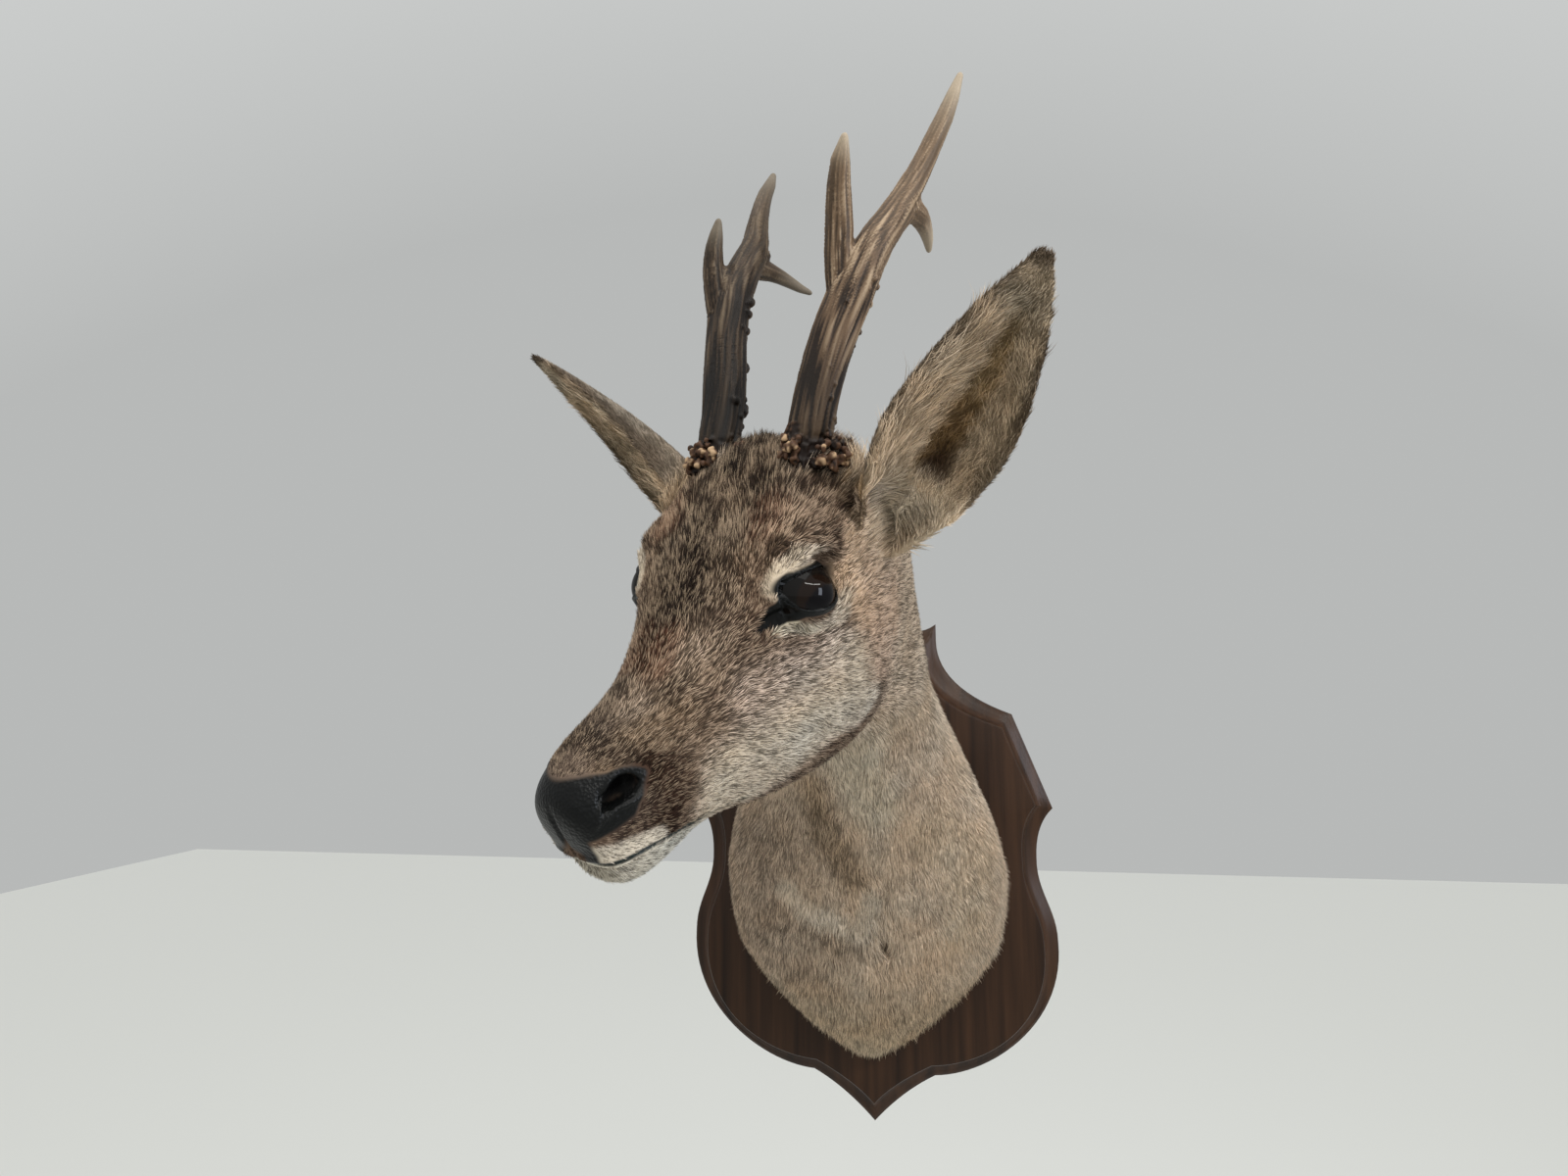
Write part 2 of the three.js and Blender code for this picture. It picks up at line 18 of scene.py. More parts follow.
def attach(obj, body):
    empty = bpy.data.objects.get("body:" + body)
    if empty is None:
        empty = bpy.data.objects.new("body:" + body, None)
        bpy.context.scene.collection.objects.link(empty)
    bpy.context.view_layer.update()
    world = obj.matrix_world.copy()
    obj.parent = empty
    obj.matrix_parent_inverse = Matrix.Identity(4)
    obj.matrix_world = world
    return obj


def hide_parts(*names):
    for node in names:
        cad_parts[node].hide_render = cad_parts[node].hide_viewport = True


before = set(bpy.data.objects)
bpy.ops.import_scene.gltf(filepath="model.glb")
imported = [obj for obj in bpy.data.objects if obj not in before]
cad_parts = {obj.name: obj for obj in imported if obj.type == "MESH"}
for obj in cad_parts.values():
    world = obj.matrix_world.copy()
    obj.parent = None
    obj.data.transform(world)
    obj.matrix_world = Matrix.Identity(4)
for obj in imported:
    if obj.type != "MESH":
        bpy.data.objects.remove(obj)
scene = bpy.context.scene
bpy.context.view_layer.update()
MM = 0.001
print("frame:", len(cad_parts), "nodes")

# %% [markdown]
# ## Small tools
# Colours are written as they look on a screen, in hex, and Blender mixes light in linear values, so one
# function turns the first into the second. One more adds a shader node with its settings and links.
# The rest are the few sums that shapes and markings share.


# %% Colours and nodes
def colour(code):
    """A hex colour such as #c8b49a in linear values, with full cover."""
    shares = [int(code[i : i + 2], 16) / 255 for i in (1, 3, 5)]
    linear = [s / 12.92 if s <= 0.04045 else ((s + 0.055) / 1.055) ** 2.4 for s in shares]
    return (*linear, 1.0)


def linear(code):
    """The same colour as an array of three."""
    return np.array(colour(code)[:3])


def add(tree, kind, inputs=None, **settings):
    """Adds a node, and fills its inputs with plain values or with other nodes' outputs."""
    made = tree.nodes.new(kind)
    for name, value in settings.items():
        setattr(made, name, value)
    for name, value in (inputs or {}).items():
        if isinstance(value, bpy.types.NodeSocket):
            tree.links.new(value, made.inputs[name])
        else:
            made.inputs[name].default_value = value
    return made


def new_material(name):
    """A material with an empty principled shader, its tree and that shader."""
    made = bpy.data.materials.new(name)
    made.use_nodes = True
    return made, made.node_tree, made.node_tree.nodes["Principled BSDF"]


# %% Sums on many points at once
def ramp(value, low, high):
    """0 below low, 1 above high, and a soft step between them."""
    share = np.clip((value - low) / (high - low), 0, 1)
    return share * share * (3 - 2 * share)


def unit(vectors):
    return vectors / np.maximum(np.linalg.norm(vectors, axis=-1, keepdims=True), 1e-9)


LATTICE = np.random.default_rng(11).random((32, 32, 32))


def soft_noise(points, size):
    """Chance values from 0 to 1 that change smoothly over about size, in the points' own unit."""
    scaled = points / size
    cell = np.floor(scaled).astype(int)
    share = scaled - cell
    share = share * share * (3 - 2 * share)
    total = np.zeros(len(points))
    for corner in itertools.product((0, 1), repeat=3):
        weight = np.prod(np.where(corner, share, 1 - share), axis=1)
        i, j, k = ((cell + corner) % 32).T
        total += weight * LATTICE[i, j, k]
    return total


def distance_to_line(points, start, end):
    """How far each point is from a straight stretch."""
    start, end = np.asarray(start, float), np.asarray(end, float)
    line = end - start
    share = np.clip((points - start) @ line / max(line @ line, 1e-9), 0, 1)
    return np.linalg.norm(points - start - share[:, None] * line, axis=1)


# %% Meshes
def read_points(mesh):
    """A mesh's points, in millimetres."""
    found = np.empty(len(mesh.vertices) * 3)
    mesh.vertices.foreach_get("co", found)
    return found.reshape(-1, 3) / MM


def write_points(mesh, points):
    mesh.vertices.foreach_set("co", (points * MM).ravel())
    mesh.update()


def read_normals(mesh):
    found = np.empty(len(mesh.vertices) * 3, np.float32)
    mesh.vertex_normals.foreach_get("vector", found)
    return found.reshape(-1, 3).astype(float)


def mesh_piece(name, points, triangles):
    """A new object from arrays of points in millimetres and of triangles."""
    mesh = bpy.data.meshes.new(name)
    mesh.vertices.add(len(points))
    mesh.vertices.foreach_set("co", (points * MM).astype(np.float32).ravel())
    mesh.loops.add(triangles.size)
    mesh.loops.foreach_set("vertex_index", triangles.astype(np.int32).ravel())
    mesh.polygons.add(len(triangles))
    mesh.polygons.foreach_set("loop_start", np.arange(0, triangles.size, 3, dtype=np.int32))
    mesh.polygons.foreach_set("use_smooth", np.ones(len(triangles), bool))
    mesh.update(calc_edges=True)
    made = bpy.data.objects.new(name, mesh)
    scene.collection.objects.link(made)
    return made


def plain(code, points):
    """One colour for every point."""
    return np.tile(linear(code), (len(points), 1))


def paint(mesh, name, values):
    """Stores one colour, or one number, for each point of a mesh."""
    if values.ndim == 1:
        layer = mesh.attributes.new(name, "FLOAT", "POINT")
        layer.data.foreach_set("value", values.astype(np.float32))
        return
    layer = mesh.color_attributes.new(name, "FLOAT_COLOR", "POINT")
    full = np.concatenate([values, np.ones((len(values), 1))], axis=1)
    layer.data.foreach_set("color", full.astype(np.float32).ravel())


def only(piece):
    """Makes one piece the only selected and active one."""
    bpy.ops.object.select_all(action="DESELECT")
    piece.select_set(True)
    bpy.context.view_layer.objects.active = piece


def apply_modifier(piece, kind, **settings):
    only(piece)
    made = piece.modifiers.new(kind.lower(), kind)
    for name, value in settings.items():
        setattr(made, name, value)
    bpy.ops.object.modifier_apply(modifier=made.name)


def joined_copies(name, nodes, swell):
    """Copies of nodes as one object, each swollen in millimetres so that the thin gaps close."""
    bpy.ops.object.select_all(action="DESELECT")
    copies = []
    for node in nodes:
        copied = bpy.data.objects.new(name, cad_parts[node].data.copy())
        scene.collection.objects.link(copied)
        shape = bmesh.new()
        shape.from_mesh(copied.data)
        bmesh.ops.remove_doubles(shape, verts=shape.verts, dist=0.00002)
        shape.normal_update()
        for vertex in shape.verts:
            vertex.co += vertex.normal * swell * MM
        shape.to_mesh(copied.data)
        shape.free()
        copies.append(copied)
    for copied in copies:
        copied.select_set(True)
    bpy.context.view_layer.objects.active = copies[0]
    bpy.ops.object.join()
    copies[0].data.materials.clear()
    return copies[0]


# %% [markdown]
# ## The view, the floor and the light
# The mount hangs at head height and is seen from a little below, close up, so the lens is wide. A room
# like this is lit by long ceiling panels and a window on the right. Large soft lights give the same
# slow shading, with small bright spots in the eyes. A pale floor lies far below.

# %% Place the camera
VIEW = {"place": (20.6, -601.6, 115.0), "yaw": 7.808, "pitch": 7.174, "roll": -0.19}
FOCAL_SHARE = 832 / 1600  # the focal length as a share of the frame's width


def camera_turns(yaw, pitch, roll):
    """The camera's right, up and backward axes, as the columns of a matrix."""
    yaw, pitch, roll = (math.radians(a) for a in (yaw, pitch, roll))
    forward = Vector((-math.sin(yaw) * math.cos(pitch), math.cos(yaw) * math.cos(pitch), math.sin(pitch)))
    level = Vector((math.cos(yaw), math.sin(yaw), 0))
    upward = level.cross(forward)
    right = math.cos(roll) * level + math.sin(roll) * upward
    up = math.cos(roll) * upward - math.sin(roll) * level
    return Matrix((right, up, -forward)).transposed()


lens = bpy.data.cameras.new("camera")
lens.sensor_width = 36
lens.lens = lens.sensor_width * FOCAL_SHARE
lens.clip_start = 0.01
camera = bpy.data.objects.new("camera", lens)
scene.collection.objects.link(camera)
turns = camera_turns(VIEW["yaw"], VIEW["pitch"], VIEW["roll"])
camera.matrix_world = Matrix.Translation(Vector(VIEW["place"]) * MM) @ turns.to_4x4()
scene.camera = camera
print("lens:", round(lens.lens, 2), "mm")

# %% Light the room
scene.view_settings.view_transform = "Standard"
world = bpy.data.worlds.new("pale_room")
scene.world = world
world.use_nodes = True
sky = world.node_tree
sky.nodes["Background"].inputs["Color"].default_value = colour("#d7d9d8")
direction = add(sky, "ShaderNodeTexCoord")
toward = add(sky, "ShaderNodeVectorMath", operation="DOT_PRODUCT")
sky.links.new(direction.outputs["Generated"], toward.inputs[0])
toward.inputs[1].default_value = (0.1, -0.85, 0.5)
glow_range = {"From Min": -0.45, "To Min": 0.7, "To Max": 1.75}
glow = add(sky, "ShaderNodeMapRange", {"Value": toward.outputs["Value"], **glow_range})
sky.links.new(glow.outputs["Result"], sky.nodes["Background"].inputs["Strength"])


def area_light(name, place, target, size, watts, tint):
    """A soft rectangular light at a place, facing a target, both in metres."""
    lamp = bpy.data.lights.new(name, "AREA")
    lamp.shape = "RECTANGLE"
    lamp.size, lamp.size_y = size
    lamp.energy = watts
    lamp.color = colour(tint)[:3]
    made = bpy.data.objects.new(name, lamp)
    scene.collection.objects.link(made)
    made.location = place
    made.rotation_euler = (Vector(target) - Vector(place)).to_track_quat("-Z", "Y").to_euler()


HEART = (0, -0.15, 0.08)  # the middle of the mount
area_light("ceiling_panels", (-0.3, -1.0, 2.0), HEART, (2.4, 1.2), 23, "#fffdf8")
area_light("ceiling_strip_near", (0.8, -1.62, 1.2), HEART, (0.8, 0.08), 9, "#fffdf8")
area_light("ceiling_strip_far", (1.35, -1.0, 1.15), HEART, (0.8, 0.08), 9, "#fffdf8")
area_light("window", (1.9, -0.95, 0.4), HEART, (0.5, 0.9), 21, "#e9f1ff")

bpy.ops.mesh.primitive_plane_add(size=14, location=(0, 0, -1.45))
floor = bpy.context.active_object
floor.name = "floor"
floor_paint, tree, shader = new_material("pale_floor_paint")
shader.inputs["Base Color"].default_value = colour("#d9d9d5")
shader.inputs["Roughness"].default_value = 0.8
floor.data.materials.append(floor_paint)

# %% [markdown]
# ## The head's own frame
# The head is nodded, tilted and turned on the neck. Its features are far easier to place in a frame of
# its own, counted in millimetres forward, to the animal's left and up from a point midway between the
# eyes. Two short functions go there and back.

# %% Into the head's frame and back
HEAD_MIDDLE = np.array([-48.9, -253.8, 157.5])
head_turns = (
    Matrix.Rotation(math.radians(-35), 3, "Z")
    @ Matrix.Rotation(math.radians(43), 3, "X")
    @ Matrix.Rotation(math.radians(9), 3, "Y")
)
LEFT, BACK, UP = np.array(head_turns).T
HEAD_AXES = np.array([-BACK, LEFT, UP])  # forward, left and up


def in_head(points):
    return (points - HEAD_MIDDLE) @ HEAD_AXES.T


def from_head(points):
    return HEAD_MIDDLE + np.asarray(points, float) @ HEAD_AXES


def mirror(head_points):
    """Both sides of the head laid on the left one."""
    return head_points * (1, 0, 1) + np.abs(head_points) * (0, 1, 0)


def path_distance(points, path):
    """How far each point is from a line through several places."""
    return np.min([distance_to_line(points, a, b) for a, b in zip(path, path[1:])], axis=0)


def to_body(head_vectors):
    """Directions in the head's frame as directions in the object's."""
    return np.asarray(head_vectors, float) @ HEAD_AXES


def body_share(points):
    """0 on the head, 1 on the neck and chest, with a soft change behind the jaw."""
    forward, _, up = in_head(points).T
    return ramp(np.maximum(-forward - 72, -up - 98), 0, 45)

# %% [markdown]
# ## The hide as one skin
# On the real mount one hide covers everything. The nodes of flesh are copied, swollen a hair's breadth
# so that their gaps close, and remeshed together into one surface. The eye sockets are filled first,
# because the lids are shaped later. Smoothing takes the flat facets away, most on the broad neck, less
# on the face and least on the thin ears. At last the skin sinks in by the depth of the hair on it.

# %% Join the flesh and remesh it
FLESH = ("chest", "neck", "head", "muzzle", "lower_jaw", "nose_pad", "ear_left", "ear_right")
EYE = {"forward": 3.4, "side": 39.5, "up": 4.0, "radius": 13.8, "slant": 18}
skin = joined_copies("skin", FLESH, 0.4)
socket_fills = []
for side in (1, -1):
    filled = from_head((EYE["forward"] + 0.5, side * (EYE["side"] - 3), EYE["up"]))
    bpy.ops.mesh.primitive_uv_sphere_add(segments=32, ring_count=16, radius=MM)
    fill = bpy.context.active_object
    turned = head_turns.to_4x4() @ Matrix.Rotation(math.radians(-EYE["slant"]), 4, "X")
    fill.matrix_world = Matrix.Translation(Vector(filled) * MM) @ turned @ Matrix.Diagonal((15, 19, 14, 1))
    socket_fills.append(fill)
bpy.ops.object.select_all(action="DESELECT")
for piece in (skin, *socket_fills):
    piece.select_set(True)
bpy.context.view_layer.objects.active = skin
bpy.ops.object.join()
skin.data.remesh_voxel_size = 1.25 * MM
skin.data.use_remesh_preserve_volume = False
bpy.ops.object.voxel_remesh()
print("remeshed skin:", len(skin.data.vertices), "points")

# %% Where a point is on an ear
# An ear is a rolled sheet. Its coordinates are the share of its length from root to tip, and how far
# across the roll a point lies: -1 at the edge nearer the antlers, 1 at the outer edge.
EAR_ROOT = np.array([-62.0, 48.0, 6.0])
EARS = {
    "left": {"side": 1, "tip": (-80, 131, 94), "opens": (0.72, 0.6, 0)},
    "right": {"side": -1, "tip": (-58, 124, 102), "opens": (0.82, 0.48, 0.05)},
}
EAR_LENGTH, EAR_HALF_WIDTH, EAR_SUNK, EAR_BOW, EAR_BACK_BOW = 122, 29.5, 14, 6, 7
EAR_WIDTHS = (0.42, 0.56, 0.77, 0.93, 1, 0.93, 0.8, 0.63, 0.42, 0.14)
EAR_ROLLS = (150, 126, 96, 76, 64, 55, 48, 42, 36, 30)


def ear_axes(ear):
    """Along, across and opening directions of an ear, in the head's frame of its own side."""
    along = unit(np.array(ear["tip"]) - EAR_ROOT)
    opening = np.array(ear["opens"], float)
    opening = unit(opening - along * (opening @ along))
    return along, np.cross(along, opening), opening


def on_ear(points, ear):
    """Share of the length, place across, distance off the roll's axis and outward direction there."""
    along, across, opening = ear_axes(ear)
    mirrored = in_head(points) * (1, ear["side"], 1)
    away = mirrored - EAR_ROOT
    reach = away @ along
    share = np.clip((reach + EAR_SUNK) / (EAR_LENGTH + EAR_SUNK), 0, 1)
    rows = np.linspace(0, 1, len(EAR_WIDTHS))
    roll = np.radians(np.interp(share, rows, EAR_ROLLS))
    width = np.interp(share, rows, EAR_WIDTHS) * EAR_HALF_WIDTH
    radius = width / np.sin(np.minimum(roll, math.pi / 2))
    swing = np.sin(math.pi * share)
    sideways = away @ across - EAR_BOW * share * swing
    depth = away @ opening - (radius - EAR_BACK_BOW * swing)
    turned = np.arctan2(sideways, -depth)
    outward = sideways[:, None] * across + depth[:, None] * opening
    offset = np.hypot(sideways, depth) - radius
    return {"reach": reach, "share": share, "across": turned / roll, "offset": offset, "outward": outward}


def ear_share(points, ear):
    """1 on that ear, 0 on the head, with a soft change at its root."""
    found = on_ear(points, ear)
    own_side = ramp(in_head(points)[:, 1] * ear["side"], 30, 40)
    return ramp(found["reach"], 5, 14) * own_side * (1 - ramp(np.abs(found["offset"]), 7, 12))


def facing_inward(normals, found, ear):
    """1 where the skin faces the axis of the ear's roll, -1 where it faces away."""
    head_normals = (normals @ HEAD_AXES.T) * (1, ear["side"], 1)
    return -np.sum(head_normals * unit(found["outward"]), axis=1)


def ear_hollow(found):
    """1 on the edge of the hollow deep in the ear, less inside it; the ear is painted dark there as shade."""
    return np.hypot((found["share"] - 0.24) / 0.13, (found["across"] - 0.32) / 0.28)


# %% Smooth the facets and sink the skin
def set_weights(name, weights):
    group = skin.vertex_groups.new(name=name)
    steps = np.round(weights * 10).astype(int)
    for step in range(1, 11):
        group.add(np.flatnonzero(steps == step).tolist(), step / 10, "REPLACE")


points = read_points(skin.data)
ears_here = sum(ear_share(points, ear) for ear in EARS.values())
neck_here = body_share(points)
forward = in_head(points)[:, 0]
muzzle_here = ramp(forward, 70, 105) * (1 - neck_here)
set_weights("all_over", np.clip(1 - 0.7 * ears_here - 0.35 * muzzle_here, 0, 1))
set_weights("broad_neck", neck_here * (1 - ears_here))
apply_modifier(skin, "SMOOTH", factor=0.5, iterations=26, vertex_group="all_over")
apply_modifier(skin, "SMOOTH", factor=0.5, iterations=130, vertex_group="broad_neck")
skin.vertex_groups.clear()

points = read_points(skin.data)
FACE_DEPTH, NECK_DEPTH, EAR_DEPTH, NOSE_DEPTH = 1.9, 6.0, 0.4, 0.4
sink = FACE_DEPTH + (NECK_DEPTH - FACE_DEPTH) * neck_here
sink += (NOSE_DEPTH - FACE_DEPTH) * ramp(forward, 60, 104) * (1 - neck_here)
sink += (EAR_DEPTH - sink) * np.clip(ears_here, 0, 1)
write_points(skin.data, points - read_normals(skin.data) * sink[:, None])
apply_modifier(skin, "DECIMATE", ratio=0.33)
print("smooth skin:", len(skin.data.polygons), "faces")

# %% [markdown]
# ## The face
# A deer's character sits in a few small forms: lids that hold the eyeball in an almond, a groove that
# runs from the eye's corner to the scent gland, comma-shaped nostrils and the long line of the mouth.
# Each is a push on the skin's points, worked out from their place in the head's frame. The faces there
# are divided first, so that the forms have enough points to stand on.


# %% Divide the faces where the forms are small
SAME_SIDE = -20  # places farther inward than this from an eye's middle aren't part of its lids


def near_eye(points):
    """Place along the lid slit, across it and outward from each eye's middle, and the side of the head."""
    forward, left, up = in_head(points).T
    side = np.where(left < 0, -1.0, 1.0)
    slant = math.radians(EYE["slant"])
    ahead, above = forward - EYE["forward"], up - EYE["up"]
    slit = ahead * math.cos(slant) + above * math.sin(slant)
    rise = above * math.cos(slant) - ahead * math.sin(slant)
    return slit, rise, np.abs(left) - EYE["side"], side


def divide_near(chosen_points, cuts):
    """Divides the faces whose points are all chosen."""
    only(skin)
    bpy.ops.object.mode_set(mode="EDIT")
    bpy.ops.mesh.select_mode(type="VERT")
    bpy.ops.mesh.select_all(action="DESELECT")
    bpy.ops.object.mode_set(mode="OBJECT")
    skin.data.vertices.foreach_set("select", chosen_points)
    bpy.ops.object.mode_set(mode="EDIT")
    bpy.ops.mesh.select_mode(type="FACE")
    bpy.ops.mesh.subdivide(number_cuts=cuts, smoothness=0)
    bpy.ops.object.mode_set(mode="OBJECT")


points = read_points(skin.data)
slit, rise, outward, _ = near_eye(points)
forward = in_head(points)[:, 0]
divide_near((np.hypot(slit - 3, rise) < 27) & (outward > SAME_SIDE) & (forward > -40), 1)
points = read_points(skin.data)
slit, rise, outward, _ = near_eye(points)
divide_near((np.hypot(slit, rise) < 17.5) & (outward > SAME_SIDE), 1)
points = read_points(skin.data)
forward, _, up = in_head(points).T
divide_near((forward > 84) & (up < 14), 1)
print("divided skin:", len(skin.data.polygons), "faces")

# %% Shape the lids
LID = {"slit": 0.4, "rise": 3.5, "front": 12.6, "rear": 13.2, "top": 7.6, "bottom": 7.1, "thick": 1.0}


def lid_reach(slit, rise):
    """1 on the almond edge of the lids, less inside it and more outside."""
    ahead, above = slit - LID["slit"], rise - LID["rise"]
    long_half = np.where(ahead > 0, LID["front"], LID["rear"])
    high_half = np.where(above > 0, LID["top"], LID["bottom"])
    roundness = 2.4
    scaled = np.abs(ahead / long_half) ** roundness + np.abs(above / high_half) ** roundness
    return scaled ** (1 / roundness)


def ball_height(slit, rise, radius):
    return np.sqrt(np.maximum(radius**2 - slit**2 - rise**2, 0))


points = read_points(skin.data)
slit, rise, outward, side = near_eye(points)
at_eye = (np.hypot(slit, rise) < 30) & (outward > SAME_SIDE)
reach = lid_reach(slit, rise)
snapped = at_eye & (np.abs(reach - 1) < 0.05)
pull = np.where(snapped, 1 / np.maximum(reach, 0.5), 1)
slit = LID["slit"] + (slit - LID["slit"]) * pull
rise = LID["rise"] + (rise - LID["rise"]) * pull
reach = np.where(snapped, 1, reach)
thin = LID["thick"] * (1 - 0.8 * ramp(0.8 * slit + 0.55 * rise, 0, 9))
over_ball = ball_height(slit, rise, EYE["radius"] + thin) - 0.5 * (1 - ramp(reach, 1, 1.14))
behind_ball = ball_height(slit, rise, EYE["radius"]) - 3
inside = ramp(1 - reach, 0, 0.1)
lid = over_ball * (1 - inside) + behind_ball * inside
toward_nose = ramp(0.8 * slit + 0.55 * rise, 7, 13)
blend = ramp(reach, 1.22 - 0.2 * toward_nose, 1.95 - 0.55 * toward_nose)
shaped = lid * (1 - blend) + outward * blend
covered = ball_height(slit, rise, EYE["radius"] + 0.9 * LID["thick"])
shaped = np.where((reach > 1.1) & (covered > 0), np.maximum(shaped, covered), shaped)
lower_fold = np.exp(-(((reach - 1.7) / 0.16) ** 2)) * ramp(-rise, 2, 7)
shaped += 0.3 * np.exp(-(((reach - 1.16) / 0.1) ** 2)) - 0.5 * lower_fold
near_ball = 1 - ramp(np.sqrt(slit**2 + rise**2 + outward**2), 20, 27)
outward = np.where(at_eye, outward + (shaped - outward) * near_ball, outward)
slant = math.radians(EYE["slant"])
ahead = slit * math.cos(slant) - rise * math.sin(slant)
above = slit * math.sin(slant) + rise * math.cos(slant)
new_place = np.stack([EYE["forward"] + ahead, side * (EYE["side"] + outward), EYE["up"] + above], 1)
points = np.where(at_eye[:, None], from_head(new_place), points)
write_points(skin.data, points)
set_weights("round_the_eyes", at_eye * ramp(reach, 1.12, 1.3) * near_ball)
apply_modifier(skin, "SMOOTH", factor=0.5, iterations=8, vertex_group="round_the_eyes")
skin.vertex_groups.clear()

# %% Shape the nose, the mouth and the tear groove
MOUTH_LINE = {  # how far forward each place is, and how high the lips meet there
    "forward": (52, 60, 66, 71, 76, 81, 87, 92, 100, 106, 113, 118, 123, 127),
    "up": (-63, -60, -57, -54, -51, -48, -44, -40, -35.7, -32.5, -30, -28.5, -27, -27),
}
NOSTRIL = {"place": (105.2, 18.0, -5.2), "long": 8.2, "high": 3.9, "deep": 7.5}
NOSTRIL_ALONG = unit(np.array([0.91, -0.38, -0.16]))
NOSTRIL_OUT = unit(np.array([0.42, 0.9, 0.1]))
NOSTRIL_UP = np.cross(NOSTRIL_OUT, NOSTRIL_ALONG)
TEAR_PATH = ((10.5, 1.5), (15.5, -2.0), (20.3, -6.1), (23.0, -9.3))
CHEST_HOLE = ((9.6, -100, -32), (11.6, -97, -37))
BROW_CREASE = ((15, 34.4, 20.7), (11.9, 34.4, 23.1), (8.5, 35.5, 24.9), (2.5, 42.4, 26.3), (-5.3, 48.8, 22.2))


def over_mouth(head_points):
    """How far a point is above the line where the lips meet."""
    return head_points[:, 2] - np.interp(head_points[:, 0], MOUTH_LINE["forward"], MOUTH_LINE["up"])


def nostril_reach(head_points):
    """1 on a nostril's rim, less inside it: thick at the back and thin towards the lip, as a comma."""
    away = mirror(head_points) - NOSTRIL["place"]
    along, high = away @ NOSTRIL_ALONG, away @ NOSTRIL_UP
    tall = NOSTRIL["high"] * np.clip(1 - 0.055 * (along + 2), 0.35, 1.5)
    high = high - 0.022 * (along - 2) ** 2 + 0.8
    return np.hypot(along / NOSTRIL["long"], high / tall), away @ NOSTRIL_OUT


def tear_distance(slit, rise):
    """Distance from the groove that runs down from the eye's front corner."""
    return path_distance(np.stack([slit, rise], 1), TEAR_PATH)


def ears_near(points):
    return np.clip(sum(ear_share(points, ear) for ear in EARS.values()), 0, 1)


points = read_points(skin.data)
normals = read_normals(skin.data)
head_points = in_head(points)
forward, left, up = head_points.T
on_head = 1 - body_share(points)
slit, rise, outward, _ = near_eye(points)
push = np.zeros(len(points))
tear = tear_distance(slit, rise)
clear_of_lids = (outward > SAME_SIDE) * ramp(lid_reach(slit, rise), 1.1, 1.35)
push -= 2.2 * np.exp(-((tear / 2.2) ** 2)) * clear_of_lids
push += 0.5 * np.exp(-(((tear - 4.4) / 1.4) ** 2)) * clear_of_lids * ramp(slit, 14, 18)
reach, off_surface = nostril_reach(head_points)
near_nose = (forward > 84) & (np.abs(off_surface) < 9)
push += 1.0 * np.exp(-(((reach - 1.35) / 0.28) ** 2)) * near_nose
lips = over_mouth(head_points)
mouth_here = ramp(forward, 54, 66) * on_head * (np.abs(left) < 40)
push -= 2.0 * np.exp(-((lips / 1.3) ** 2)) * mouth_here
push += 0.8 * np.exp(-(((lips - 3.4) / 1.9) ** 2)) * mouth_here
push -= 1.0 * np.exp(-(((lips + 4.5) / 3.2) ** 2)) * mouth_here
push -= 1.3 * np.exp(-((left / 1.1) ** 2)) * ramp(forward, 112, 118) * ramp(-up, -2, 6) * ramp(up, -29, -24)
mirrored = mirror(head_points)
crest = distance_to_line(mirrored, (6, 49, -21), (62, 27, -13))
push += 0.7 * np.exp(-((crest / 8) ** 2))
crease = path_distance(mirrored, BROW_CREASE)
push -= 1.5 * np.exp(-((np.maximum(crease - 1.7, 0) / 1.6) ** 2))
pedicle = distance_to_line(mirrored, (-50, 27, 33), (-54, 27, 40))
push -= 2.6 * (1 - ramp(pedicle, 13, 21)) * (1 - ears_near(points))
saddle = distance_to_line(head_points, (-58, 0, 46), (-70, 0, 46))
push -= 3.2 * (1 - ramp(saddle, 5, 15)) * (1 - ears_near(points))
hollow = distance_to_line(points, *CHEST_HOLE)
push -= 4.5 * np.exp(-((hollow / 2.6) ** 2))
for start, end in (((-52, -108, 0), (-10, -110, -18)), ((-10, -110, -18), (5, -114, 8))):
    push -= 1.6 * np.exp(-((distance_to_line(points, start, end) / 7) ** 2))
points = points + normals * push[:, None]
nostril_hole = near_nose * (1 - ramp(reach, 0.78, 1.08))
inside = near_nose * (1 - ramp(reach, 0.6, 1.06)) * NOSTRIL["deep"]
inward = to_body(np.stack([np.full(len(points), -0.5), -0.8 * np.sign(left), np.full(len(points), -0.1)], 1))
write_points(skin.data, points + inward * inside[:, None])
only(skin)
bpy.ops.object.mode_set(mode="EDIT")
bpy.ops.mesh.select_all(action="SELECT")
bpy.ops.mesh.quads_convert_to_tris()
bpy.ops.uv.smart_project(angle_limit=math.radians(66), island_margin=0.002)
bpy.ops.object.mode_set(mode="OBJECT")
skin.data.uv_layers[0].name = "OFBake"
skin.data.shade_smooth()
print("skin:", len(skin.data.polygons), "triangles")

# %% [markdown]
# ## The colours of the coat
# Each hair of a roe buck in winter grey is banded: dark at the root, then buff, with a dark tip. From a
# step away the bands mix to a grey brown that is paler on the cheeks and throat, darker on the forehead
# and bridge, cream round the eyes and white at the chin. The markings are soft strokes of colour laid
# over a ground, placed in the head's frame for the head and in the mount's for the neck and chest. A few
# strokes and shifts are painted shade and painted light instead, and each says so where it stands. One
# function gives the colour at any point, and both the skin and the hair on it ask that function.

# %% Ground colours and strokes
HAIR_GAIN = 1.62  # hairs shade one another, so each is paler than the coat looks

GROUND = {
    "cheek": "#5d4b3e",
    "behind_jaw": "#a5937e",
    "nape": "#7c6e60",
    "neck": "#cab7a1",
    # chest_left is darker than chest_right as painted shade: that side lies in the shade under the head.
    "chest_left": "#938271",
    "chest_right": "#c6b19a",
    "chest_low": "#998771",
}
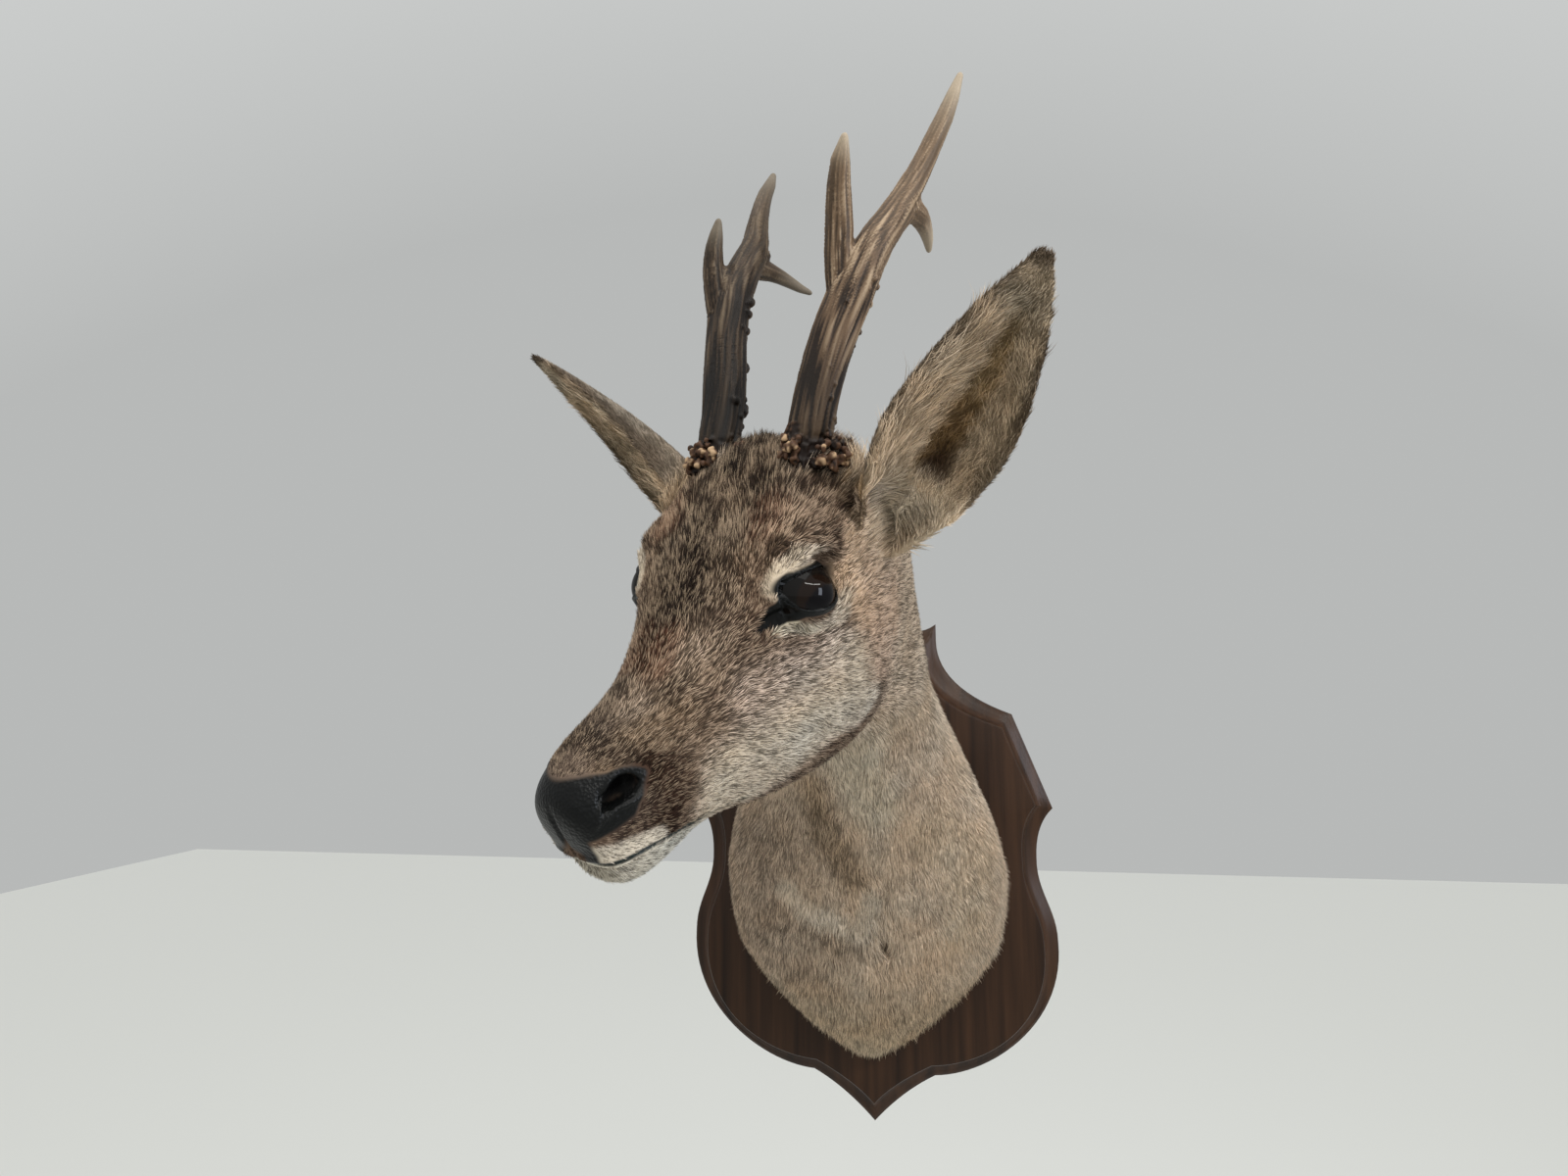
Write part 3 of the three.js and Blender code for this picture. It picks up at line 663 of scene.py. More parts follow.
# Each stroke: colour, strength, full radius, soft edge, and the places of its path. Sides are mirrored.
HEAD_STROKES = (
    ("#514337", 0.9, 20, 16, ((-48, 0, 46), (-20, 0, 40), (20, 0, 27))),
    ("#8d7c6a", 0.75, 4, 8, ((-40, 24, 38), (-46, 38, 30))),
    ("#2e231c", 0.9, 9, 9, ((22, 0, 25), (50, 0, 17), (80, 0, 7))),
    ("#5b4e44", 0.8, 12, 8, ((82, 0, 6), (100, 0, 2))),
    ("#766555", 0.7, 9, 9, ((50, 20, 8), (78, 14, 5))),
    ("#6d5a47", 0.8, 9, 9, ((72, 24, -10), (96, 20, 0))),
    ("#705d4d", 0.8, 12, 16, ((50, 33, -20), (70, 26, -28))),
    ("#d9c8af", 0.85, 9, 21, ((8, 47, -40), (38, 34, -44), (66, 25, -45))),
    # Along the underside of the jaw: partly its pale hair, partly painted light that lifts the shade there.
    ("#dccdb7", 0.75, 5, 11, ((-2, 43, -62), (17, 42, -53), (38, 34, -50), (60, 26, -49))),
    ("#a89787", 0.5, 6, 16, ((15, 44, -22), (42, 33, -20))),
    ("#c3a789", 0.8, 11, 10, ((-33, 49, 1), (-22, 50, -14))),
    ("#715d4c", 0.7, 7, 7, ((-22, 44, 30), (12, 32, 27))),
    ("#b79b83", 0.6, 8, 22, ((-24, 50, -42), (-34, 48, -22))),
    ("#2a1f19", 0.6, 3, 5, ((-52, 30, 33), (-60, 46, 19))),
    ("#7d4a33", 0.2, 4, 7, ((-12, 26, 34), (0, 27, 32))),
    ("#8a5238", 0.18, 3, 7, ((50, 8, 17), (62, 7, 11))),
    ("#c2b29c", 0.9, 3.6, 3.8, ((14.6, 38.6, 16.7), (10.2, 41, 19.7), (4.8, 45.2, 21.9), (-0.2, 49.6, 19.3))),
    ("#ab9c89", 0.8, 2.6, 4.5, ((-0.2, 49.6, 19.3), (-8, 51.4, 12), (-11.6, 52, 2), (-10, 52, -5))),
    ("#a89a87", 0.8, 2.4, 4, ((-10, 52, -5), (-3, 51.4, -9), (6, 49.5, -8), (14, 46.2, -4.5))),
    ("#c6baa4", 0.9, 1.6, 2.6, ((14, 46.2, -4.5), (19, 42, 0.5), (22.5, 38.5, 0))),
    # Painted shade: a dark line along the brow's crease, where the fold shades itself.
    ("#3b2f26", 0.8, 1.0, 2.2, BROW_CREASE),
    ("#2b1a12", 0.9, 5, 6, ((93, 21.5, -6), (90, 24, -14), (95, 24, -23), (102, 22, -27))),
    ("#412f25", 0.6, 4, 6, ((84, 24, -14), (86, 25, -26))),
    ("#392c25", 0.85, 3.5, 3.5, ((100, 20.5, -13), (106, 19.5, -17), (112, 20, -15))),
    ("#41352c", 0.8, 3, 4, ((98, 0, 7), (98, 9, 5.5), (95, 16, 2))),
    ("#d8ccb9", 0.92, 2.6, 4.0, ((120, 13, -21), (113, 18, -24.5), (106, 21, -29))),
)
# These lie on one side only: negative is the animal's right.
SINGLE_STROKES = (
    ("#241a14", 0.8, 3.5, 5, ((-37, -9, 42), (-30, -5, 42))),
    ("#241a14", 0.7, 3, 5, ((-28, 17, 38), (-20, 14, 38))),
    ("#241a14", 0.75, 3, 5, ((0, -6, 33), (10, -4, 31))),
    ("#2a1f18", 0.6, 2.5, 5, ((18, 5, 27), (34, 3, 22))),
    ("#2f241c", 0.5, 2.5, 4, ((58, 18, 6), (68, 16, 4))),
    ("#2a1f18", 0.5, 2, 4, ((-14, -20, 36), (-6, -18, 35))),
    ("#31261d", 0.45, 2, 4, ((44, -8, 18), (54, -6, 15))),
    ("#93816f", 0.4, 3, 5, ((50, 17, 10), (56, 17, 8))),
    ("#93816f", 0.35, 2.5, 4, ((76, 9, 9), (80, 8, 8))),
)
# The pale V is partly pale hair where the coat parts, partly a painted highlight along the fold's ridge.
PALE_V_ARM = ((-48, -105, 0), (-36, -105, -11), (-20, -105, -17))  # the long arm of the chest's pale V
BODY_STROKES = (
    ("#e8d8c0", 0.9, 8, 18, ((-6, -160, 92), (0, -148, 70), (8, -134, 52))),
    ("#7c6a56", 0.85, 7, 9, ((-30, -141, 62), (-23, -125, 35), (-6, -117, 8))),
    ("#cdb9a4", 0.7, 14, 16, ((34, -135, 78), (56, -112, 30))),
    ("#bfac94", 0.6, 12, 14, ((44, -115, 34), (66, -99, 15), (60, -92, -25))),
    # Pale V: partly pale hair, partly a painted highlight on the fold's ridge.
    ("#d8cbb8", 0.6, 3, 7, (*PALE_V_ARM, (-4, -104, -23), (3, -107, -4))),
    # Painted shadow: a dark band below the V's long arm, where the fold shades the chest under it.
    ("#63574a", 0.55, 2.5, 7, ((-36, -104, -24), (-18, -103, -31), (-2, -101, -35))),
    # Painted shade inside the small hollow on the chest.
    ("#4a3c30", 0.7, 2.0, 3, ((9.6, -100, -30), (12, -97, -37))),
    ("#a89780", 0.8, 14, 14, ((0, -60, -110), (0, -25, -140))),
)


def mix(colours, tint, share):
    """Lays a tint over an array of colours, by a share for each point."""
    return colours + (linear(tint) - colours) * np.clip(share, 0, 1)[:, None]


def hold_hue(colours):
    """Keeps bright colours under a limit without changing their hue."""
    return colours / np.maximum(1, colours.max(axis=1, keepdims=True) / 0.86)


def stroke_share(points, strength, radius, softness, path):
    return strength * (1 - ramp(path_distance(points, path), radius, radius + softness))


# %% Colours and bare places of the face
EAR_FOOT = ((-57, 56, 1), (-49, 68, -8))


def bare_nose(head_points):
    """1 on the bare black skin of the nose and its lip edge, 0 on hair."""
    forward, left, up = head_points.T
    left = np.abs(left)
    top_edge = ramp(0.92 * forward + 0.39 * up - (106.5 - 0.048 * left**2), -1, 1)
    outer = up + 13.5 - np.maximum(0, (107 - forward) * 0.6)
    low_edge = np.where(left > 11, ramp(outer, -1, 1), 1)
    fade = ramp(12.4 - left, -1.4, 1.4)
    lower = low_edge * (1 - fade) + fade * ramp(up + 27.5, -1, 1)
    over = over_mouth(head_points)
    lip_rim = ramp(over, -1.0, 0.0) * (1 - ramp(over, 2.4, 3.6)) * ramp(forward, 101, 110)
    pad = top_edge * np.where(left > 13.8, low_edge, lower) * ramp(over, -0.6, 0.6) * (forward > 84)
    return np.maximum(pad, lip_rim)


def bare_lids(slit, rise, outward):
    """1 on the wet black rims of the lids and down the tear groove."""
    below = 0.24 * ramp(-rise, -1, 3) * ramp(slit, -12, -4)
    rim = 1 - ramp(lid_reach(slit, rise) - 0.06 * ramp(rise, 2, 7) - below, 1.12, 1.26)
    rear = (1 - ramp(lid_reach(slit, rise), 1.32, 1.48)) * ramp(-slit, 3, 9) * (1 - ramp(rise, 5, 9))
    corner = path_distance(np.stack([slit, rise], 1), ((10.0, 2.2), (15.5, -1.8), (20.0, -6.2)))
    front = 1 - ramp(corner + 0.42 * np.maximum(slit - 12, 0), 5.4, 6.3)
    tear = 1 - ramp(tear_distance(slit, rise) + 0.3 * np.maximum(slit - 16, 0), 3.0, 4.0)
    here = (outward > SAME_SIDE) * (np.hypot(slit, rise) < 32)
    return np.clip(np.maximum.reduce([rim, rear, front, tear]), 0, 1) * here


def face_colours(points):
    head_points = in_head(points)
    mirrored = mirror(head_points)
    colours = plain(GROUND["cheek"], points)
    forward, _, up = head_points.T
    colours = mix(colours, GROUND["behind_jaw"], ramp(-forward, 6, 46) * ramp(-up, -14, 16))
    colours = mix(colours, GROUND["nape"], ramp(-forward, 58, 92) * ramp(up, 0, 30) * 0.7)
    for tint, *how, path in HEAD_STROKES:
        colours = mix(colours, tint, stroke_share(mirrored, *how, path))
    for tint, *how, path in SINGLE_STROKES:
        colours = mix(colours, tint, stroke_share(head_points, *how, path))
    lips = over_mouth(head_points)
    forward = head_points[:, 0]
    chin = ramp(-lips, 0.5, 2.5) * ramp(forward, 74, 94) * (np.abs(head_points[:, 1]) < 30)
    colours = mix(colours, "#e2dac8", chin)
    dark_lip = ramp(lips, -0.6, 0.4) * (1 - ramp(lips, 2.4, 4))
    dark_lip = dark_lip * ramp(forward, 58, 64) * (1 - ramp(forward, 92, 98))
    return mix(colours, "#2b322d", dark_lip * (np.abs(head_points[:, 1]) < 34) * 0.85)


def body_colours(points):
    # Darker towards chest_left: painted shade under the head, paler to the other side.
    across = ramp(points[:, 0], -62, 14)[:, None]
    left, right, low = (linear(GROUND[n]) for n in ("chest_left", "chest_right", "chest_low"))
    colours = left + (right - left) * across
    colours += (linear(GROUND["neck"]) - colours) * ramp(points[:, 2], 30, 90)[:, None]
    colours += (low - colours) * ramp(-points[:, 2], 40, 90)[:, None]
    for tint, *how, path in BODY_STROKES:
        colours = mix(colours, tint, stroke_share(points, *how, path))
    return colours


def ear_colours(points, normals, ear):
    """Cream inside on the inner half, ochre deep down with painted shade in its hollow, brindled outside,
    grey brown behind.
    """
    found = on_ear(points, ear)
    share, across = found["share"], found["across"]
    facing_in = facing_inward(normals, found, ear)
    colours = plain("#766b5e", points)
    colours = mix(colours, "#8d7250", 1 - ramp(share, 0.14, 0.34))
    inner = plain("#d8bfa0", points)
    inner = mix(inner, "#8a7353", ramp(across, -0.12, 0.12))
    inner = mix(inner, "#634a2c", ramp(across, -0.1, 0.1) * (1 - ramp(share, 0.35, 0.6)) * 0.8)
    inner = mix(inner, "#a69278", ramp(across, 0.3, 0.55))
    inner = mix(inner, "#6d5e4b", ramp(across, 0.8, 0.95))
    inner = mix(inner, "#8d7e69", ramp(share, 0.72, 0.86))
    # Painted shade: the hollow deep in the ear is dark.
    inner = mix(inner, "#33241a", (1 - ramp(ear_hollow(found), 0.5, 1.15)) * 0.9)
    inner = mix(inner, "#96794f", (1 - ramp(share, 0.06, 0.14)) * 0.7)
    inside = ramp(facing_in, -0.15, 0.35)[:, None]
    colours = colours + (inner - colours) * inside
    rim = ramp(-across, 0.66, 0.9) * ramp(share, 0.24, 0.4) + ramp(across, 0.86, 1.0) * ramp(share, 0.4, 0.7)
    colours = mix(colours, "#4a3d31", rim * 0.7)
    return mix(colours, "#2c2119", ramp(share, 0.93, 0.98) * 0.8)


def coat_colours(points, normals):
    """The mean colour of the coat at each point, in linear values."""
    colours = face_colours(points)
    colours += (body_colours(points) - colours) * body_share(points)[:, None]
    for ear in EARS.values():
        share = np.clip(ear_share(points, ear), 0, 1)[:, None]
        colours += (ear_colours(points, normals, ear) - colours) * share
    around_ear = distance_to_line(mirror(in_head(points)), *EAR_FOOT)
    # The foot of the ear has pale tan hair, painted paler still as light that lifts the shade there.
    colours = mix(colours, "#ecd6b8", 0.9 * (1 - ramp(around_ear, 8, 27)) * (1 - body_share(points)))
    return hold_hue(colours * HAIR_GAIN)


SKIN_SHADE = 0.62  # the hide between the hairs is darker than they are
points, normals = read_points(skin.data), read_normals(skin.data)
slit, rise, outward, _ = near_eye(points)
head_points = in_head(points)
nose_here = bare_nose(head_points)
lids_here = bare_lids(slit, rise, outward)
mouth_gap = 1 - ramp(np.abs(over_mouth(head_points) - 0.6), 1.3, 2.3)
mouth_gap *= ramp(head_points[:, 0], 60, 70) * (1 - body_share(points)) * (np.abs(head_points[:, 1]) < 34)
skin_colours = coat_colours(points, normals) * SKIN_SHADE
skin_colours = mix(skin_colours, "#050606", np.maximum(nose_here, lids_here))
skin_colours = mix(skin_colours, "#1c2422", mouth_gap)
# Painted shade: the small hollow on the chest is dark inside.
hole_shade = 1 - ramp(distance_to_line(points, *CHEST_HOLE), 1.4, 3.0)
# Painted shade: the inside of each nostril is painted black.
skin_colours = mix(skin_colours, "#050505", nostril_hole)
skin_colours = mix(skin_colours, "#241a13", hole_shade)
paint(skin.data, "coat_colour", skin_colours)
paint(skin.data, "bare", np.clip(np.maximum.reduce([nose_here, lids_here, mouth_gap]), 0, 1))
paint(skin.data, "nose", nose_here)
print("skin painted, bare points:", int((nose_here > 0.5).sum()))

# %% [markdown]
# ## Materials of the hide
# Hair is a dull fibre with a faint gleam along its length, so its roughness is high and its specular
# level low. The bare nose is pebbled and slightly moist: dark, with small broken highlights. The
# hide between the hairs carries the same markings, only darker, with a fine nap.


# %% Hide and hair
def hide_material():
    made, tree, shader = new_material("deer_hide")
    tint = add(tree, "ShaderNodeVertexColor", layer_name="coat_colour")
    bare = add(tree, "ShaderNodeAttribute", attribute_name="bare")
    nose = add(tree, "ShaderNodeAttribute", attribute_name="nose")
    place = add(tree, "ShaderNodeTexCoord")
    # Both scales are counts to a metre: a nap of 1.4 mm, and the nose's pebbles, 1.3 mm across.
    nap = add(tree, "ShaderNodeTexNoise", {"Vector": place.outputs["Object"], "Scale": 700.0, "Detail": 3.0})
    pebble = add(tree, "ShaderNodeTexVoronoi", {"Vector": place.outputs["Object"], "Scale": 780.0})
    relief = add(tree, "ShaderNodeMix", {"Factor": nose.outputs["Fac"]})
    tree.links.new(nap.outputs["Fac"], relief.inputs["A"])
    tree.links.new(pebble.outputs["Distance"], relief.inputs["B"])
    bump = add(tree, "ShaderNodeBump", {"Strength": 0.5, "Distance": 0.0005})
    tree.links.new(relief.outputs["Result"], bump.inputs["Height"])
    gleam = add(tree, "ShaderNodeMapRange", {"Value": bare.outputs["Fac"], "To Min": 0.85, "To Max": 0.36})
    shader.inputs["Specular IOR Level"].default_value = 0.14
    tree.links.new(tint.outputs["Color"], shader.inputs["Base Color"])
    tree.links.new(gleam.outputs["Result"], shader.inputs["Roughness"])
    tree.links.new(bump.outputs["Normal"], shader.inputs["Normal"])
    return made


def hair_material(name):
    """Hair: the colour of each tuft, dull, with only a faint gleam."""
    made, tree, shader = new_material(name)
    tint = add(tree, "ShaderNodeVertexColor", layer_name="coat_colour")
    tree.links.new(tint.outputs["Color"], shader.inputs["Base Color"])
    shader.inputs["Roughness"].default_value = 0.6
    shader.inputs["Specular IOR Level"].default_value = 0.06
    return made


skin.data.materials.clear()
skin.data.materials.append(hide_material())
winter_hair = hair_material("winter_deer_hair")
ear_hair = hair_material("soft_ear_hair")

# %% [markdown]
# ## The lie of the coat
# Hair is combed by growth: back from the nose over the bridge and cheeks, parting round the eyes, the
# ears and the antlers as water parts round stones, then down the neck and out over the board's edge.
# The direction is worked out for any point of the skin, so that every tuft lies with its neighbours.

# %% The direction of growth
STONES = (((7, 46, 7), 15), ((-64, 60, 12), 17), ((-52, 27, 36), 14))  # place and radius, mirrored sides

PARTING = 0.6  # 1 would part the hair fully round a stone and leave a whorl behind it


def coat_lie(points, normals):
    """Unit directions along the skin, from root to tip."""
    head_points = in_head(points)
    side = np.where(head_points[:, 1] < 0, -1.0, 1.0)
    mirrored = mirror(head_points)
    low_cheek = ramp(-mirrored[:, 2], 0, 40)
    flow = np.stack([np.full(len(points), -1.0), 0.12 * ramp(mirrored[:, 0], 20, 60), -0.45 * low_cheek], 1)
    ahead = flow.copy()
    for place, radius in STONES:
        away = mirrored - place
        distance = np.maximum(np.linalg.norm(away, axis=1), radius)[:, None]
        dot = np.sum(away * ahead, axis=1, keepdims=True)
        flow += PARTING * ((radius / distance) ** 2 * ahead - 2 * radius**2 / distance**4 * dot * away)
    flow[:, 1] *= side
    flow = unit(to_body(flow))
    downward = np.tile([0.04, 0.42, -0.9], (len(points), 1))
    outward = unit(np.stack([points[:, 0], np.zeros(len(points)), points[:, 2] + 30], 1))
    downward += outward * 0.5 * ramp(points[:, 1], -70, -30)[:, None]
    flow += (unit(downward) - flow) * body_share(points)[:, None]
    for ear in EARS.values():
        found = on_ear(points, ear)
        along, across, _ = ear_axes(ear)
        sweep = along - across * 0.35 * np.clip(found["across"], -1, 1)[:, None]
        sweep[:, 1] *= ear["side"]
        share = np.clip(ear_share(points, ear), 0, 1)[:, None]
        flow += (unit(to_body(sweep)) - flow) * share
    swirl = np.cross(normals, flow)
    turn = (soft_noise(points, 6.0) - 0.5) * 0.9 + (soft_noise(points + 50, 2.6) - 0.5) * 0.5
    flow = flow + swirl * turn[:, None]
    flow -= normals * np.sum(flow * normals, axis=1, keepdims=True)
    return unit(flow)


# %% Length, width, lift and density of the coat
def crown_share(points):
    """1 on the shaggy crown between the eyes and the antlers, 0 elsewhere."""
    forward, _, up = in_head(points).T
    return ramp(up, 10, 24) * (1 - ramp(forward, 8, 34)) * (1 - body_share(points))


def coat_habit(points, normals):
    """For each point: tuft length and width in millimetres, lift as a slope, tufts to a square mm."""
    head_points = in_head(points)
    forward, left, up = head_points.T
    left = np.abs(left)
    body = body_share(points)
    habit = np.tile([4.2, 0.66, 0.34, 2.4], (len(points), 1))

    def lay(values, share):
        nonlocal habit
        habit = habit + (np.array(values) - habit) * np.clip(share, 0, 1)[:, None]

    lay([6.5, 0.72, 0.5, 2.0], ramp(up, 22, 34) * ramp(left, 42, 26) * ramp(forward, 40, 5))
    lay([9.0, 0.75, 0.62, 2.0], ramp(-forward, 26, 46) * ramp(left, 50, 30) * ramp(up, 18, 30))
    lay([5.5, 0.7, 0.5, 2.2], ramp(-forward, 36, 46) * ramp(left, 13, 5) * ramp(up, 18, 30))
    ear_base = distance_to_line(mirror(head_points), (-58, 54, 2), (-72, 52, 2))
    lay([9.0, 0.7, 0.5, 1.8], 1 - ramp(ear_base, 12, 26))
    lay([3.1, 0.54, 0.3, 2.8], ramp(forward, 60, 84))
    lay([2.2, 0.4, 0.28, 3.4], ramp(forward, 96, 108))
    lay([3.2, 0.5, 0.3, 4.2], ramp(-over_mouth(head_points), 0.5, 2) * ramp(forward, 74, 90))
    slit, rise, outward, _ = near_eye(points)
    ring = (1 - ramp(lid_reach(slit, rise), 1.35, 1.9)) * (outward > SAME_SIDE) * (np.hypot(slit, rise) < 32)
    lay([2.4, 0.4, 0.2, 3.6], ring)
    lay([6.2, 0.8, 0.34, 1.5], body)
    lay([7.2, 0.9, 0.42, 1.35], body * ramp(-points[:, 2], -10, 50))
    lay([9.0, 0.95, 0.8, 1.5], body * ramp(points[:, 1], -44, -30))
    for ear in EARS.values():
        found = on_ear(points, ear)
        share = np.clip(ear_share(points, ear), 0, 1)
        facing_in = facing_inward(normals, found, ear)
        lay([3.4, 0.5, 0.22, 2.4], share)
        lay([4.8, 0.45, 0.4, 1.6], share * ramp(facing_in, -0.1, 0.3))
        lay([2.6, 0.45, 0.3, 2.6], share * ramp(found["share"], 0.84, 0.95))
    return habit


# %% [markdown]
# ## The hair itself
# Each tuft is a thin closed spike of mesh, three-sided at its root, that lies along the growth and rises
# a little at its tip. Chance makes most tufts the mean colour, some pale and some dark, in small clumps,
# which is the brindle of the banded hairs. Roots are darker than tips. Every tuft keeps a small patch of
# the skin's own unwrap, at the place of its root.

# %% Scatter roots over the skin
def skin_triangles():
    mesh = skin.data
    corners = np.empty(len(mesh.loops), np.int32)
    mesh.loops.foreach_get("vertex_index", corners)
    uv = np.empty(len(mesh.loops) * 2, np.float32)
    mesh.uv_layers["OFBake"].data.foreach_get("uv", uv)
    return corners.reshape(-1, 3), uv.reshape(-1, 3, 2).astype(float)


BARE_LIMIT = 0.45  # where the skin is barer than this, no hair grows
HIDE_END = -23  # nor does it grow on the rim that is turned in against the board
chance = np.random.default_rng(5)
skin_points, skin_normals = read_points(skin.data), read_normals(skin.data)
triangles, triangle_uv = skin_triangles()
corners = skin_points[triangles]
areas = np.linalg.norm(np.cross(corners[:, 1] - corners[:, 0], corners[:, 2] - corners[:, 0]), axis=1) / 2
centres = corners.mean(axis=1)
facing = unit(skin_normals[triangles].mean(axis=1))
density = coat_habit(centres, facing)[:, 3]
bare_points = np.maximum.reduce([nose_here, lids_here, mouth_gap, nostril_hole, hole_shade])
bare_here = bare_points[triangles].max(axis=1)
density = density * (bare_here < BARE_LIMIT) * (centres[:, 1] < HIDE_END)
wanted = density * areas
drawn = np.floor(wanted + chance.random(len(wanted))).astype(int)
chosen = np.repeat(np.arange(len(wanted)), drawn)
mixed = chance.random((len(chosen), 2))
mixed = np.where(mixed.sum(axis=1, keepdims=True) > 1, 1 - mixed, mixed)
weights = np.concatenate([1 - mixed.sum(axis=1, keepdims=True), mixed], axis=1)[:, :, None]
roots = (corners[chosen] * weights).sum(axis=1)
root_normals = unit((skin_normals[triangles[chosen]] * weights).sum(axis=1))
root_uv = (triangle_uv[chosen] * weights).sum(axis=1)
print("tufts:", len(roots), "area mm2:", round(areas.sum()))

# %% Colour every tuft
habit = coat_habit(roots, root_normals)
lie = coat_lie(roots, root_normals)
tuft_colours = coat_colours(roots, root_normals)
on_crown, on_neck = crown_share(roots), body_share(roots)
on_ears = ears_near(roots) * (1 - on_neck)
dark_coat = (1 - ramp(tuft_colours.mean(axis=1), 0.1, 0.34)) * (1 - on_neck)
fine_clump = (soft_noise(roots, 1.3) - 0.5) * (0.85 - 0.35 * on_neck)
wide_clump = (soft_noise(roots + 90, 4.5) - 0.5) * (0.3 + 0.8 * on_crown + 0.25 * on_neck)
pick = chance.random(len(roots)) + (fine_clump + wide_clump)
DARK_BELOW, PALE_ABOVE = 0.34, 0.62  # tufts picked outside these are dark or pale
DARK_SHADE, PLAIN_SHADE, PALE_SHADE = 0.16, 0.8, 2.05
is_pale = pick > PALE_ABOVE + 0.06 * dark_coat
shade = np.where(pick < DARK_BELOW, DARK_SHADE, np.where(is_pale, PALE_SHADE, PLAIN_SHADE))
shade = 1 + (shade - 1) * (1 - 0.2 * on_neck - 0.35 * on_ears)
shade = shade * (0.88 + 0.24 * chance.random(len(roots)))
shade = shade * (1 + (soft_noise(roots + 60, 11.0) - 0.5) * 0.5 * on_neck)
warmth = 1 + (soft_noise(roots + 20, 14.0)[:, None] - 0.5) * np.array([0.08, 0.0, -0.08])
grey = tuft_colours.mean(axis=1, keepdims=True)
fading = 0.16 * ramp(shade, 1.2, 1.8) * (1 - on_neck)
faded = tuft_colours + (grey - tuft_colours) * fading[:, None]
tip_colours = faded * shade[:, None] * warmth
banded = ((is_pale & (on_ears < 0.5)) * 0.6 * dark_coat)[:, None]
tip_colours = hold_hue(tip_colours + (linear("#baa489") - tip_colours) * banded)
# Roots at the foot of the ear are lightened as well: painted light against the shade there.
ear_foot = (1 - ramp(distance_to_line(mirror(in_head(roots)), *EAR_FOOT), 12, 24)) * (1 - on_neck)
root_shade = 0.24 + 0.36 * on_neck + 0.2 * on_ears - 0.06 * on_crown + 0.4 * ear_foot
root_colours = tuft_colours * warmth * root_shade[:, None]


# %% Grow the tufts
PATCH = 0.003
SPIKE_UV = np.array([(-0.5, -0.5), (0.5, -0.5), (0.0, -0.2), (0.0, 0.5)]) * PATCH
SPIKE_FACES = np.array([(0, 2, 3), (2, 1, 3), (1, 0, 3), (0, 1, 2)])
COAT_LIMIT = 49000  # tufts in a piece, of four triangles each
BOARD_FRONT = -20.6  # tips stop a little before the board's face


def coat_piece(name, which, shape, faces, shades, patch, material):
    """One piece of coat from rows of shaped tufts, each on its own patch of the skin's unwrap."""
    all_faces = (np.arange(len(which)) * shape.shape[1])[:, None, None] + faces
    made = mesh_piece(name, shape.reshape(-1, 3), all_faces.reshape(-1, 3))
    paint(made.data, "coat_colour", shades.reshape(-1, 3))
    layer = made.data.uv_layers.new(name="OFBake")
    patches = root_uv[which][:, None, None, :] + patch[faces]
    layer.data.foreach_set("uv", np.clip(patches, 0, 1).astype(np.float32).ravel())
    made.data.materials.append(material)
    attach(made, "root")
    return made


def grow_spikes(name, which, material):
    """One piece of coat: a closed four-faced spike for each chosen root."""
    at, normal, direction = roots[which], root_normals[which], lie[which]
    count = len(which)
    length, width, lift = (habit[which, k] for k in range(3))
    length = length * (0.75 + 0.5 * chance.random(count))
    direction = unit(direction + np.cross(normal, direction) * chance.normal(0, 0.13, count)[:, None])
    sideways = np.cross(direction, normal)
    lift = lift * (0.55 + 0.9 * chance.random(count))
    rising = unit(direction + normal * lift[:, None])
    half = sideways * (width / 2)[:, None]
    sunk = at - normal * 0.35
    crown = sunk + normal * (0.5 * width)[:, None]
    tip = at + rising * length[:, None]
    tip[:, 1] = np.minimum(tip[:, 1], BOARD_FRONT)
    spike = np.stack([sunk - half, sunk + half, crown, tip], axis=1)
    shades = np.stack([root_colours[which]] * 3 + [tip_colours[which]], axis=1)
    return coat_piece(name, which, spike, SPIKE_FACES, shades, SPIKE_UV, material)


LOCK_STEPS = (0.0, 0.35, 0.7)
LOCK_RING = ((-0.5, 0), (0.5, 0), (0, 0.1))
LOCK_UV = [(x * (1 - step), step + high - 0.5) for step in LOCK_STEPS for x, high in LOCK_RING]
LOCK_UV = np.array([*LOCK_UV, (0, 0.5)]) * PATCH
LOCK_FACES = [(0, 1, 2)]
for low in (0, 3):
    for p, q in ((0, 2), (2, 1), (1, 0)):
        LOCK_FACES += [(low + p, low + q, low + 3 + q), (low + p, low + 3 + q, low + 3 + p)]
LOCK_FACES = np.array([*LOCK_FACES, (6, 8, 9), (8, 7, 9), (7, 6, 9)])


